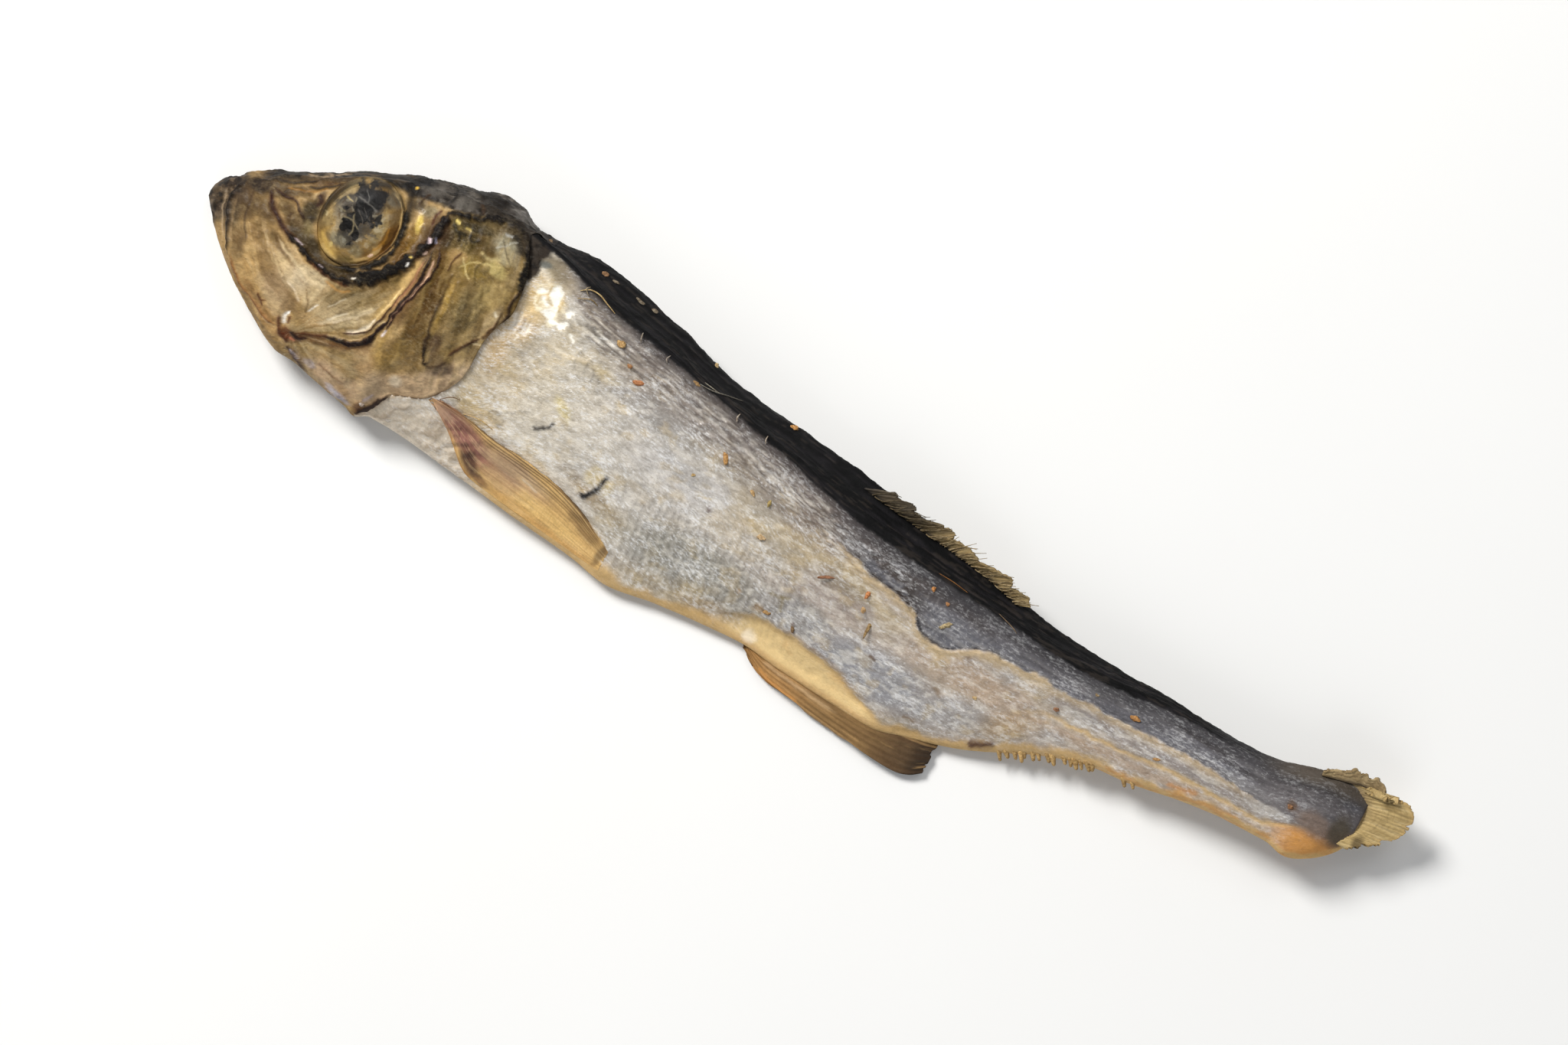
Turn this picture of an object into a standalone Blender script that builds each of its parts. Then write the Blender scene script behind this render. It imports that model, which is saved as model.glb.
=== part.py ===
"""A dried herring, whole, lying on its right side: one solid of 150 mm with its fins fused on.

The snout points along -X, the back along +Y, and the left flank faces up, along +Z.
Sizes are in millimetres. "s" is the distance behind the snout, and "h" the height above the
line through the snout and the tail, measured towards the back, as seen from straight above.
"""

import math

import bmesh
import bpy
import numpy as np

MM = 0.001

# Driving dimensions
LENGTH = 149.5  # snout to the end of the tail's stub
BODY_END = 144.5  # where the flesh stops and the tail's rays begin
HEAD_STEP = 0.85  # spacing of the sections along the head
BODY_STEP = 2.0  # spacing of the sections along the body
HEAD_END = 38.0
REST_CUT = 0.25  # how much of the right side is pressed flat
RIGHT_SHARE = 0.6  # the right side's relief, as a share of the left's
TAIL_LIFT = 3.5  # the tail has curled up from the tray by this
SNOUT_LIFT = 1.0

# Outlines seen from above, as (s, h)
DORSAL_LINE = [
    (0, 0.6), (0.8, 1.9), (2.2, 2.8), (3.2, 4.3), (4.6, 5.3), (7, 6.0), (11, 7.9), (16, 10.6),
    (21, 12.6), (26, 13.7), (29.5, 14.7), (32, 14.3), (34.5, 13.1), (37, 13.1), (41, 13.4),
    (46, 12.7), (52, 11.3), (60, 8.9), (66, 7.8), (72, 7.2), (80, 6.0), (88, 4.8), (95, 3.4),
    (101, 1.9), (108, 1.1), (118, 0.5), (128, 0.0), (134, 0.4), (139, 1.8), (142, 3.0),
    (144.5, 2.4),
]
VENTRAL_LINE = [
    (0, -0.5), (1.2, -2.0), (3, -4.0), (6, -6.7), (10, -9.5), (14.5, -12.0), (17, -12.3),
    (21, -13.2), (24.5, -14.0), (25.7, -14.4), (27.3, -13.7), (31, -13.9), (38, -14.8),
    (46, -15.9), (54, -16.9), (59, -17.8), (64, -17.1), (70, -16.6), (75, -16.4), (80, -17.0),
    (87, -17.6), (92, -17.9), (96, -17.0), (102, -15.3), (106, -13.6), (110, -11.8),
    (115, -10.3), (120, -9.9), (126, -8.9), (132, -8.4), (136, -8.4), (138.5, -8.9),
    (141, -8.0), (143.5, -5.9), (144.5, -4.4),
]
# The edge where the flank turns over into the black back
SHOULDER_LINE = [
    (0, 0.3), (3, 3.0), (7, 5.0), (12, 7.2), (17, 9.6), (22, 10.9), (28, 12.0), (33, 12.1),
    (38, 11.2), (44, 9.3), (52, 7.6), (60, 5.9), (70, 3.7), (80, 1.3), (90, 0.1), (100, -0.7),
    (110, -0.9), (120, -0.8), (132, -0.9), (141, 0.4), (144.5, 0.4),
]
# Greatest height of a section above the tray
THICKNESS = [
    (0, 2.2), (2, 4.0), (5, 6.2), (10, 8.6), (16, 10.5), (24, 11.9), (31, 12.3), (37, 11.5),
    (46, 11.3), (60, 10.5), (75, 9.4), (90, 8.3), (105, 7.2), (120, 6.1), (132, 5.3),
    (140, 4.0), (144.5, 1.8),
]
# Each section is a ring of 12 corners. A corner's height is a share of the thickness, which
# changes from the snout to the tail. Its place across is a share of the way from the belly to
# the shoulder, or from the shoulder to the back.
BELLY_EDGE, SHOULDER, BACK_EDGE = 0.0, 1.0, 2.0
RING = {
    "belly keel": (BELLY_EDGE, [(0, 0.50), (20, 0.30), (40, 0.16), (95, 0.12), (118, 0.30), (144.5, 0.5)]),
    "left rim": (0.035, [(0, 0.70), (20, 0.52), (40, 0.29), (95, 0.23), (118, 0.52), (144.5, 0.7)]),
    "lower flank": (0.22, [(0, 0.86), (25, 0.80), (40, 0.56), (90, 0.47), (112, 0.64), (144.5, 0.9)]),
    "middle flank": (0.48, [(0, 0.96), (25, 0.96), (42, 0.80), (90, 0.72), (115, 0.86), (144.5, 1.0)]),
    "upper flank": (0.77, [(0, 1.00), (25, 1.00), (42, 0.94), (90, 0.93), (115, 0.97), (144.5, 1.0)]),
    "shoulder": (SHOULDER, [(0, 0.93), (25, 0.90), (42, 1.00), (90, 1.00), (120, 0.94), (144.5, 0.9)]),
    "left back": (1.50, [(0, 0.78), (25, 0.74), (42, 0.78), (90, 0.78), (120, 0.76), (144.5, 0.7)]),
    "back": (BACK_EDGE, [(0, 0.50), (25, 0.48), (42, 0.50), (90, 0.50), (120, 0.50), (144.5, 0.5)]),
    "right back": (1.56, [(0, 0.22), (25, 0.16), (42, 0.14), (90, 0.16), (120, 0.20), (144.5, 0.3)]),
    "right shoulder": (0.86, [(0, 0.06), (25, 0.01), (42, 0.00), (90, 0.00), (120, 0.04), (144.5, 0.1)]),
    "right flank": (0.48, [(0, 0.02), (25, 0.00), (42, 0.00), (90, 0.00), (120, 0.01), (144.5, 0.0)]),
    "right belly": (0.10, [(0, 0.16), (25, 0.06), (42, 0.03), (90, 0.03), (120, 0.10), (144.5, 0.2)]),
}
RING_STEPS = [2, 4, 5, 5, 5, 3, 3, 3, 3, 3, 3, 3]  # sections of mesh from each corner to the next

# Head relief
EYE = {"s": 16.8, "h": 4.9, "across": 4.4, "down": 4.9, "socket": 1.3, "ball": 1.9, "dent": 0.6}
EYE_CREASE = [(7, 4), (8, 1.6), (10.4, -0.3), (13.4, -1.3), (16.5, -2.1), (19.3, -1.4),
              (21.4, 0.4), (23.3, 2.2), (24.2, 4.8), (24.7, 7.5), (25.0, 10.2)]
CHEEK_EDGE = [(15.0, -9.4), (17.5, -9.6), (20, -8.6), (22.8, -7.5), (24.3, -5.6), (25.1, -2.5),
              (25.7, 1), (26.3, 4), (25.6, 6.4)]
CHEEK_LIP = [(17.5, -8.4), (20.5, -7.2), (22.8, -5.2), (23.9, -2.2), (24.6, 1.2), (25.2, 4.4)]
MOUTH_SLIT = [(3.3, 3.1), (2.5, 1.4), (2.5, -0.4), (3.7, -2.3), (5.0, -4.6), (7.6, -7.2), (11, -8.9), (14.6, -9.6)]
JAW_RIDGE = [(5.2, -1.2), (7.4, -3.4), (10.2, -5.4), (13.6, -7.2)]  # the upper jaw's blade
HEAD_LUMPS = [  # as s, h, radius and height
    (4.6, 4.6, 1.3, 0.7), (1.2, 0.9, 1.1, 0.5), (15.0, -9.3, 1.3, -0.5), (8.6, 4.6, 1.6, -0.4),
]
GILL_SEAMS = [
    [(28.6, 6.2), (29.0, 2), (29.3, -2.5), (30.1, -6.2)],
    [(34.7, -1.0), (33.0, -2.5), (31.5, -4.5)],
    [(25.0, 10.0), (28.0, 10.9), (31.5, 12.2), (34.0, 11.4)],
]
THROAT_CREASE = [(28.4, -10.5), (27.4, -12.4), (25.9, -14.2)]
GILL_EDGE = [(-15, 25.3), (-12.5, 27.4), (-10.4, 29.0), (-9.4, 31.6), (-7.5, 33.5), (-4, 34.8),
             (-1, 34.9), (1.5, 35.4), (4, 36.3), (6.5, 36.0), (9, 35.4), (11, 34.2), (15, 31.5)]
GILL_PLATE = 0.9  # how far the gill cover stands above the flank behind it

# Flank relief
SKIN_FOLD = [(76, -0.8), (80, -1.8), (84, -3.0), (88, -4.0), (90.3, -4.7), (91.7, -5.9),
             (93.6, -6.6), (95.4, -6.4), (97.2, -5.3), (100, -4.5), (106, -4.3), (116, -4.3),
             (126, -4.3), (134, -5.2)]
SKIN_STEP = 0.55  # the silver skin stands above the dark muscle by this
BELLY_FLAP = [(68, -15.6), (72, -14.2), (76, -13.1), (80, -13.3), (84, -13.9), (88, -15.2), (92, -16.7)]
FLAP_DROP = 0.9
HOLLOWS = [  # shrunken places as s, h, length, height and depth
    (45, 1.5, 9, 5, 0.45), (62, -6, 12, 5, 0.7), (84, -9, 10, 4, 0.6), (104, -7.5, 8, 2.5, 0.35),
    (12, 1.5, 4, 2.5, 0.5), (20.5, -4.5, 3, 2.2, 0.5),
]

# Fins
PECTORAL_TOP = [(32.5, -8.5), (38, -9.1), (43, -9.8), (48, -10.6), (52, -11.8), (55, -13.1), (57.8, -15.0)]
PECTORAL_BOTTOM = [(32.5, -9.4), (35.5, -11.2), (38, -13.4), (41, -14.6), (48, -15.5), (57.8, -16.6)]
PECTORAL_HEIGHT = 1.0
PECTORAL_RAYS = 4
FIN_THICKNESS = 0.75
WEB_SHARE = 0.6  # the web's thickness as a share of a ray's
FIN_SEED = 7


def smooth_line(points):
    """A function through the points that never swings past them."""
    x, y = (np.array(column, float) for column in zip(*points))
    run, rise = np.diff(x), np.diff(y)
    slope = rise / run
    tangent = np.concatenate([[slope[0]], (slope[:-1] + slope[1:]) / 2, [slope[-1]]])
    for i, m in enumerate(slope):
        if m == 0:
            tangent[i] = tangent[i + 1] = 0
        else:
            for j in (i, i + 1):
                tangent[j] = m * min(max(tangent[j] / m, 0), 3)

    def at(value):
        value = np.clip(np.asarray(value, float), x[0], x[-1])
        i = np.clip(np.searchsorted(x, value, side="right") - 1, 0, len(run) - 1)
        t = (value - x[i]) / run[i]
        return (
            y[i] * (1 + 2 * t) * (1 - t) ** 2
            + tangent[i] * run[i] * t * (1 - t) ** 2
            + y[i + 1] * t * t * (3 - 2 * t)
            - tangent[i + 1] * run[i] * t * t * (1 - t)
        )

    return at


def catmull(points, parts, closed=False):
    """A smooth curve through 2-D points, with a number of parts in each span."""
    points = np.asarray(points, float)
    count = len(points)
    found = []
    for i in range(count if closed else count - 1):
        if closed:
            a, b, c, d = (points[(i + k) % count] for k in (-1, 0, 1, 2))
        else:
            a, b, c, d = (points[min(max(i + k, 0), count - 1)] for k in (-1, 0, 1, 2))
        steps = parts[i] if closed else parts
        for t in np.arange(steps) / steps:
            found.append(
                0.5 * (2 * b + (c - a) * t + (2 * a - 5 * b + 4 * c - d) * t * t
                       + (3 * b - a - 3 * c + d) * t**3)
            )
    if not closed:
        found.append(points[-1])
    return np.array(found)


def distance_to(curve, s, h):
    """Distance of each place (s, h) from a curve through these points."""
    line = catmull(curve, 4)
    start, along = line[:-1], np.diff(line, axis=0)
    place = np.stack([s, h], -1)[..., None, :]
    t = np.clip(((place - start) * along).sum(-1) / (along**2).sum(-1), 0, 1)
    return np.linalg.norm(place - start - t[..., None] * along, axis=-1).min(-1)


def bump(distance, width):
    return np.exp(-((distance / width) ** 2))


def ramp(value, start, end):
    t = np.clip((value - start) / (end - start), 0, 1)
    return t * t * (3 - 2 * t)


def eye_relief(s, h):
    r = np.hypot((s - EYE["s"]) / EYE["across"], (h - EYE["h"]) / EYE["down"])
    socket = -EYE["socket"] * (1 - ramp(r, 0.95, 1.35))
    ball = EYE["ball"] * np.clip(1 - r**2, 0, 1) ** 0.8
    return socket + ball - EYE["dent"] * (1 - ramp(r, 0.2, 0.6))


def head_relief(s, h):
    """Creases and plates of the head, as a height above the smooth section."""
    height = eye_relief(s, h)
    height -= 0.75 * bump(distance_to(EYE_CREASE, s, h), 0.9)
    height -= 0.75 * bump(distance_to(CHEEK_EDGE, s, h), 0.8)
    height += 0.5 * bump(distance_to(CHEEK_LIP, s, h), 0.8)
    height -= 0.7 * bump(distance_to(MOUTH_SLIT, s, h), 0.6)
    height += 0.35 * bump(distance_to(JAW_RIDGE, s, h), 1.3)
    height -= 0.7 * bump(distance_to(THROAT_CREASE, s, h), 0.7)
    for seam in GILL_SEAMS:
        height -= 0.45 * bump(distance_to(seam, s, h), 0.6)
    for at_s, at_h, radius, high in HEAD_LUMPS:
        height += high * bump(np.hypot(s - at_s, h - at_h), radius)
    to_edge = smooth_line(GILL_EDGE)(h) - s
    plate = ramp(to_edge, -0.35, 0.5) * (1 - ramp(to_edge, 2, 9))
    return height + GILL_PLATE * plate - 0.5 * bump(to_edge + 1.0, 0.8) * ramp(h, -15, -11)


def flank_relief(s, h):
    """The fold in the skin, the belly's flap and the places that have shrunk."""
    height = np.zeros_like(s)
    fold = smooth_line(SKIN_FOLD)(s) - h
    present = ramp(s, 76, 84) * (1 - ramp(s, 128, 136))
    height += SKIN_STEP * present * (ramp(fold, -0.5, 0.4) - ramp(fold, 1.0, 6.0))
    flap = smooth_line(BELLY_FLAP)(s) - h
    on_flap = ramp(s, 68, 76) * (1 - ramp(s, 88, 93)) * ramp(h - smooth_line(VENTRAL_LINE)(s), 0, 1.8)
    height -= FLAP_DROP * on_flap * ramp(flap, -0.5, 0.5)
    for at_s, at_h, long, tall, deep in HOLLOWS:
        height -= deep * bump(np.hypot((s - at_s) / long, (h - at_h) / tall), 1)
    return height


def pectoral_relief(s, h):
    """The pectoral fin, folded flat against the flank: a blade with a few rays."""
    top, bottom = smooth_line(PECTORAL_TOP)(s), smooth_line(PECTORAL_BOTTOM)(s)
    inside = ramp(top - h, -0.4, 0.4) * ramp(h - bottom, -1.2, 0.6)
    inside *= ramp(s, 32.5, 34.5) * (1 - ramp(s, 56.5, 58.2))
    across = (top - h) / np.maximum(top - bottom, 0.5)
    rays = 0.5 + 0.5 * np.cos(2 * np.pi * PECTORAL_RAYS * across)
    return PECTORAL_HEIGHT * inside * (1 - 0.5 * ramp(across, 0.1, 1)) + 0.18 * inside * rays


def relief(s, h):
    return head_relief(s, h) + flank_relief(s, h) + pectoral_relief(s, h)


def lift(s):
    """The snout and the tail curl up a little from the tray."""
    return SNOUT_LIFT * (1 - ramp(s, 0, 16)) + TAIL_LIFT * ramp(s, 92, LENGTH + 12)


def stations():
    head = np.arange(0, HEAD_END, HEAD_STEP)
    head[0] = 0.0
    nose = [0.35]
    count = round((BODY_END - HEAD_END) / BODY_STEP)
    body = np.linspace(HEAD_END, BODY_END, count + 1)
    return np.concatenate([head[:1], nose, head[1:], body])


def body_sections():
    """One closed ring of points for each station, from the belly's keel up over the left."""
    s = stations()
    dorsal, ventral = smooth_line(DORSAL_LINE)(s), smooth_line(VENTRAL_LINE)(s)
    shoulder = np.minimum(smooth_line(SHOULDER_LINE)(s), dorsal - 0.25 * np.minimum(dorsal - ventral, 2))
    thick = smooth_line(THICKNESS)(s)
    corners = []
    for share, heights in RING.values():
        low = ventral + min(share, 1) * (shoulder - ventral)
        across = low + max(share - 1, 0) * (dorsal - shoulder)
        corners.append(np.stack([across, thick * smooth_line(heights)(s)], -1))
    rings = []
    for i, at in enumerate(s):
        ring = catmull([corner[i] for corner in corners], RING_STEPS, closed=True)
        rings.append(np.column_stack([np.full(len(ring), at), ring]))
    return np.array(rings)


def press_relief(rings):
    """Adds the relief on both flanks, the same on the right but shallower and pressed flat."""
    s, h, z = (rings[..., k].copy() for k in range(3))
    corner = np.concatenate([i + np.arange(n) / n for i, n in enumerate(RING_STEPS)])
    names = list(RING)
    keel, rim, back = (names.index(name) for name in ("belly keel", "left rim", "back"))
    left = ramp(corner, keel, rim) * (1 - ramp(corner, back - 0.8, back))
    right = ramp(corner, back, back + 2) * (1 - ramp(corner, len(names) - 2, len(names)))
    ends = ramp(s, 0, 2) * (1 - ramp(s, 141, 144))
    z = z + relief(s, h) * ends * (left - RIGHT_SHARE * right)
    z = np.maximum(z, REST_CUT) - REST_CUT + lift(s)
    return np.stack([s, h, z], -1)


def loft(rings, name):
    """A closed mesh through the rings, with a fan at each end."""
    mesh = bmesh.new()
    rows = [[mesh.verts.new(point * MM) for point in ring] for ring in rings]
    count = len(rows[0])
    for near, far in zip(rows, rows[1:]):
        for k in range(count):
            n = (k + 1) % count
            mesh.faces.new((near[k], near[n], far[n], far[k]))
    for row, outward in ((rows[0], False), (rows[-1], True)):
        middle = sum((v.co for v in row), row[0].co * 0) / count
        tip = mesh.verts.new(middle)
        for k in range(count):
            n = (k + 1) % count
            mesh.faces.new((row[k], row[n], tip) if outward else (row[n], row[k], tip))
    bmesh.ops.triangulate(mesh, faces=mesh.faces, quad_method="SHORT_EDGE")
    bmesh.ops.recalc_face_normals(mesh, faces=mesh.faces)
    return as_object(mesh, name)


def as_object(mesh, name):
    data = bpy.data.meshes.new(name)
    mesh.to_mesh(data)
    mesh.free()
    obj = bpy.data.objects.new(name, data)
    bpy.context.scene.collection.objects.link(obj)
    return obj


def fin(name, roots, tips, rays, parts, side, bow=(0, 0, 0), ragged=0.0, thickness=FIN_THICKNESS):
    """A thin ribbed sheet between a root curve and a tip curve, whose rays bow sideways.

    Both faces are split into triangles alike. Every second column is a ray, and the one
    between is web. The side is the direction that the sheet's left face looks in.
    """
    draw = np.random.default_rng(FIN_SEED)
    columns = 2 * rays + 1
    places = np.linspace(0, 1, columns)
    root, tip = (
        np.stack([np.interp(places, np.linspace(0, 1, len(end)), axis) for axis in np.transpose(end)], -1)
        for end in (roots, tips)
    )
    short = 1 - ragged * draw.random(columns)
    short[0::2] -= ragged * 0.6  # the web has worn back between the rays
    side = np.array(side, float)
    half = np.full(columns, 0.5 * thickness * WEB_SHARE)
    half[1::2] = 0.5 * thickness
    mesh = bmesh.new()
    layers = []
    for sign in (1, -1):
        grid = []
        for j in range(parts + 1):
            t = j / parts
            thin = 1 - 0.35 * t
            line = root + (tip - root) * (t * short)[:, None] + np.array(bow) * 4 * t * (1 - t)
            line = line + side * (sign * half * thin)[:, None]
            grid.append([mesh.verts.new(point * MM) for point in line])
        layers.append(grid)
    upper, lower = layers
    for j in range(parts):
        for i in range(columns - 1):
            for grid, order in ((upper, 1), (lower, -1)):
                a, b = grid[j][i], grid[j][i + 1]
                c, d = grid[j + 1][i + 1], grid[j + 1][i]
                mesh.faces.new((a, b, c)[::order])
                mesh.faces.new((a, c, d)[::order])
    rim = [(0, i) for i in range(columns)] + [(j, columns - 1) for j in range(1, parts + 1)]
    rim += [(parts, i) for i in range(columns - 2, -1, -1)] + [(j, 0) for j in range(parts - 1, 0, -1)]
    for (j, i), (n, m) in zip(rim, rim[1:] + rim[:1]):
        a, b, c, d = upper[j][i], upper[n][m], lower[n][m], lower[j][i]
        mesh.faces.new((b, a, d))
        mesh.faces.new((b, d, c))
    bmesh.ops.recalc_face_normals(mesh, faces=mesh.faces)
    return as_object(mesh, name)


def along(line, start, end, count, inset, z):
    """Points that follow an outline, moved in by the inset, at a share z of the thickness."""
    s = np.linspace(start, end, count)
    height = z * smooth_line(THICKNESS)(s) + lift(s)
    return np.column_stack([s, smooth_line(line)(s) + inset, height])


def dorsal_fin():
    """Folded back along the midline: its dry tips stand in a fringe over the back."""
    roots = along(DORSAL_LINE, 74, 95, 5, -1.6, 0.50)
    tips = along(DORSAL_LINE, 82, 101.5, 5, 0, 0.62)
    tips[:, 1] += [0.8, 1.2, 1.3, 1.5, 1.0]
    return fin("dorsal fin", roots, tips, 11, 4, (0, -0.5, 0.87), ragged=0.16)


def anal_fin():
    """A long comb of short rays in front of the tail."""
    roots = along(VENTRAL_LINE, 102, 121, 6, 1.3, 0.22)
    tips = along(VENTRAL_LINE, 103.5, 122.5, 6, 0, 0.20)
    tips[:, 1] -= [0.7, 1.3, 1.5, 1.3, 1.0, 0.4]
    return fin("anal fin", roots, tips, 16, 2, (0, 0.2, 0.98), ragged=0.35)


def pelvic_fin():
    """A narrow blade that has dried back along the belly, just behind its middle."""
    roots = np.array([(75.5, -15.0, 1.5), (77.2, -16.0, 1.3)])
    tips = np.array([(99.8, -15.4, 1.7), (99.9, -17.4, 1.6), (99.2, -19.3, 1.4), (96.6, -20.7, 1.2)])
    return fin("pelvic fin", roots, tips, 5, 9, (0, 0.2, 0.98), bow=(0, -0.75, -0.2), ragged=0.03)


def tail_stub():
    """What is left of the tail: a short fan of rays, its upper lobe broken off."""
    middle = 0.5 * smooth_line(THICKNESS)(BODY_END) + lift(np.array(143.0))
    roots = np.array([(138.8, 1.1, middle), (140.5, 0.4, middle), (141.0, -1.8, middle),
                      (140.0, -4.6, middle), (138.8, -7.0, middle)])
    tips = np.array([(145.2, 3.5, middle + 0.6), (149.0, 2.6, middle + 0.9), (149.5, 0.2, middle + 0.7),
                     (147.8, -2.7, middle + 0.2), (145.6, -5.2, middle), (143.2, -6.9, middle)])
    return fin("tail", roots, tips, 10, 5, (-0.1, 0, 1), ragged=0.10, thickness=1.1)


def unite(body, pieces):
    """Fuses the fins to the body by one Boolean union on their collection."""
    group = bpy.data.collections.new("fins")
    bpy.context.scene.collection.children.link(group)
    for piece in pieces:
        bpy.context.scene.collection.objects.unlink(piece)
        group.objects.link(piece)
    join = body.modifiers.new("join", "BOOLEAN")
    join.operation = "UNION"
    join.operand_type = "COLLECTION"
    join.collection = group
    join.solver = "EXACT"
    bpy.context.view_layer.objects.active = body
    bpy.ops.object.modifier_apply(modifier=join.name)
    for piece in pieces:
        bpy.data.objects.remove(piece)
    bpy.data.collections.remove(group)


def centre(obj):
    """Puts the origin under the middle of the object's box, on the tray."""
    points = np.array([v.co for v in obj.data.vertices])
    low, high = points.min(0), points.max(0)
    shift = [-(low[0] + high[0]) / 2, -(low[1] + high[1]) / 2, -low[2]]
    for v in obj.data.vertices:
        v.co.x += shift[0]
        v.co.y += shift[1]
        v.co.z += shift[2]
    return shift


def finish_of(name, colour, roughness, metallic=0.0):
    material = bpy.data.materials.new(name)
    material.use_nodes = True
    shader = material.node_tree.nodes["Principled BSDF"]
    shader.inputs["Base Color"].default_value = (*colour, 1)
    shader.inputs["Roughness"].default_value = roughness
    shader.inputs["Metallic"].default_value = metallic
    return material


def paint(obj, shift):
    """Gives each face the finish of its place: black back, golden head, silver flank, tan fins."""
    obj.data.materials.clear()
    for material in (
        finish_of("silver flank", (0.46, 0.42, 0.36), 0.38, 0.25),
        finish_of("black back", (0.018, 0.019, 0.022), 0.5),
        finish_of("golden head", (0.30, 0.20, 0.09), 0.35, 0.1),
        finish_of("tan belly and fins", (0.48, 0.27, 0.10), 0.5),
        finish_of("clouded eye", (0.10, 0.10, 0.10), 0.2),
    ):
        obj.data.materials.append(material)
    shoulder, dorsal = smooth_line(SHOULDER_LINE), smooth_line(DORSAL_LINE)
    ventral = smooth_line(VENTRAL_LINE)
    for face in obj.data.polygons:
        s = (face.center.x - shift[0]) / MM
        h = (face.center.y - shift[1]) / MM
        eye = math.hypot((s - EYE["s"]) / EYE["across"], (h - EYE["h"]) / EYE["down"])
        if eye < 0.55:
            face.material_index = 4
        elif s > BODY_END or h > dorsal(s) + 0.2 or h < ventral(s) + 1.2:
            face.material_index = 3
        elif h > shoulder(s):
            face.material_index = 1
        elif s < smooth_line(GILL_EDGE)(h):
            face.material_index = 2
    obj.data.shade_smooth()
    obj.data.set_sharp_from_angle(angle=math.radians(80))


def main():
    for old in list(bpy.data.objects):
        bpy.data.objects.remove(old)
    body = loft(press_relief(body_sections()), "herring")
    unite(body, [dorsal_fin(), anal_fin(), pelvic_fin(), tail_stub()])
    paint(body, centre(body))


main()
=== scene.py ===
import math

import bmesh
import bpy
import numpy as np
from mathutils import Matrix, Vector
from mathutils.bvhtree import BVHTree


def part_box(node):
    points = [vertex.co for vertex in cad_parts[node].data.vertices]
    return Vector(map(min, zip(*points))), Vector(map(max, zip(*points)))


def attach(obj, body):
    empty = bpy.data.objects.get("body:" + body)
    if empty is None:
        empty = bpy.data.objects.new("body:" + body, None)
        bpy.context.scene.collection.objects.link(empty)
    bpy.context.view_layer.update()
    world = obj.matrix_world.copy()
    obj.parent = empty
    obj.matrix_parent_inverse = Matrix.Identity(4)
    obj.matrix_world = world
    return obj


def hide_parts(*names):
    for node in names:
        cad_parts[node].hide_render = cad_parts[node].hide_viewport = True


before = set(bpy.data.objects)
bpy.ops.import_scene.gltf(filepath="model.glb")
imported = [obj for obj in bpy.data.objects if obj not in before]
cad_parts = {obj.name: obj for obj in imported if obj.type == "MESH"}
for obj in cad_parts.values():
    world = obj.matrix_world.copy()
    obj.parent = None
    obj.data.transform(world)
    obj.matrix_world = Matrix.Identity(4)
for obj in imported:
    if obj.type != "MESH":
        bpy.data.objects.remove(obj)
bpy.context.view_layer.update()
mm = 0.001
low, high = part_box("herring")

# Sizes here are in millimetres along the fish: s is the distance behind the snout, h the height
# towards the back, and z the height over the tray. The frame says where they lie.
headTop = 14.7  # h of the highest point of the head, which is the box's far side


def toWorld(s, h, z):
    return np.stack([low.x + s * mm, high.y + (h - headTop) * mm, low.z + z * mm + 0 * s], -1)


print("frame: fish is %.1f mm long" % ((high.x - low.x) / mm))


def linear(colour):  # a tint's name, or its sRGB from 0 to 255, to the linear colour to mix
    c = np.array(tints[colour] if isinstance(colour, str) else colour, float) / 255
    return np.where(c <= 0.04045, c / 12.92, ((c + 0.055) / 1.055) ** 2.4)


def ramp(value, start, end):
    t = np.clip((value - start) / (end - start), 0, 1)
    return t * t * (3 - 2 * t)


def fade(value, start, end):
    return 1 - ramp(value, start, end)


def bump(distance, width):
    return np.exp(-((distance / width) ** 2))


def smoothLine(points):  # a function through the points that never swings past them
    x, y = (np.array(column, float) for column in zip(*points))
    run, rise = np.diff(x), np.diff(y)
    slope = rise / run
    tangent = np.concatenate([[slope[0]], (slope[:-1] + slope[1:]) / 2, [slope[-1]]])
    for i, m in enumerate(slope):
        for j in (i, i + 1):
            tangent[j] = m * min(max(tangent[j] / m, 0), 3) if m else 0

    def at(value):
        value = np.clip(np.asarray(value, float), x[0], x[-1])
        i = np.clip(np.searchsorted(x, value, side="right") - 1, 0, len(run) - 1)
        t = (value - x[i]) / run[i]
        return (y[i] * (1 + 2 * t) * (1 - t) ** 2 + tangent[i] * run[i] * t * (1 - t) ** 2
                + y[i + 1] * t * t * (3 - 2 * t) - tangent[i + 1] * run[i] * t * t * (1 - t))

    return at


def catmull(points, parts):  # a smooth curve through 2-D points
    points = np.asarray(points, float)
    last = len(points) - 1
    found = []
    for i in range(last):
        a, b, c, d = (points[min(max(i + k, 0), last)] for k in (-1, 0, 1, 2))
        for t in np.arange(parts) / parts:
            found.append(0.5 * (2 * b + (c - a) * t + (2 * a - 5 * b + 4 * c - d) * t * t
                                + (3 * b - a - 3 * c + d) * t**3))
    return np.array(found + [points[-1]])


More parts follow.
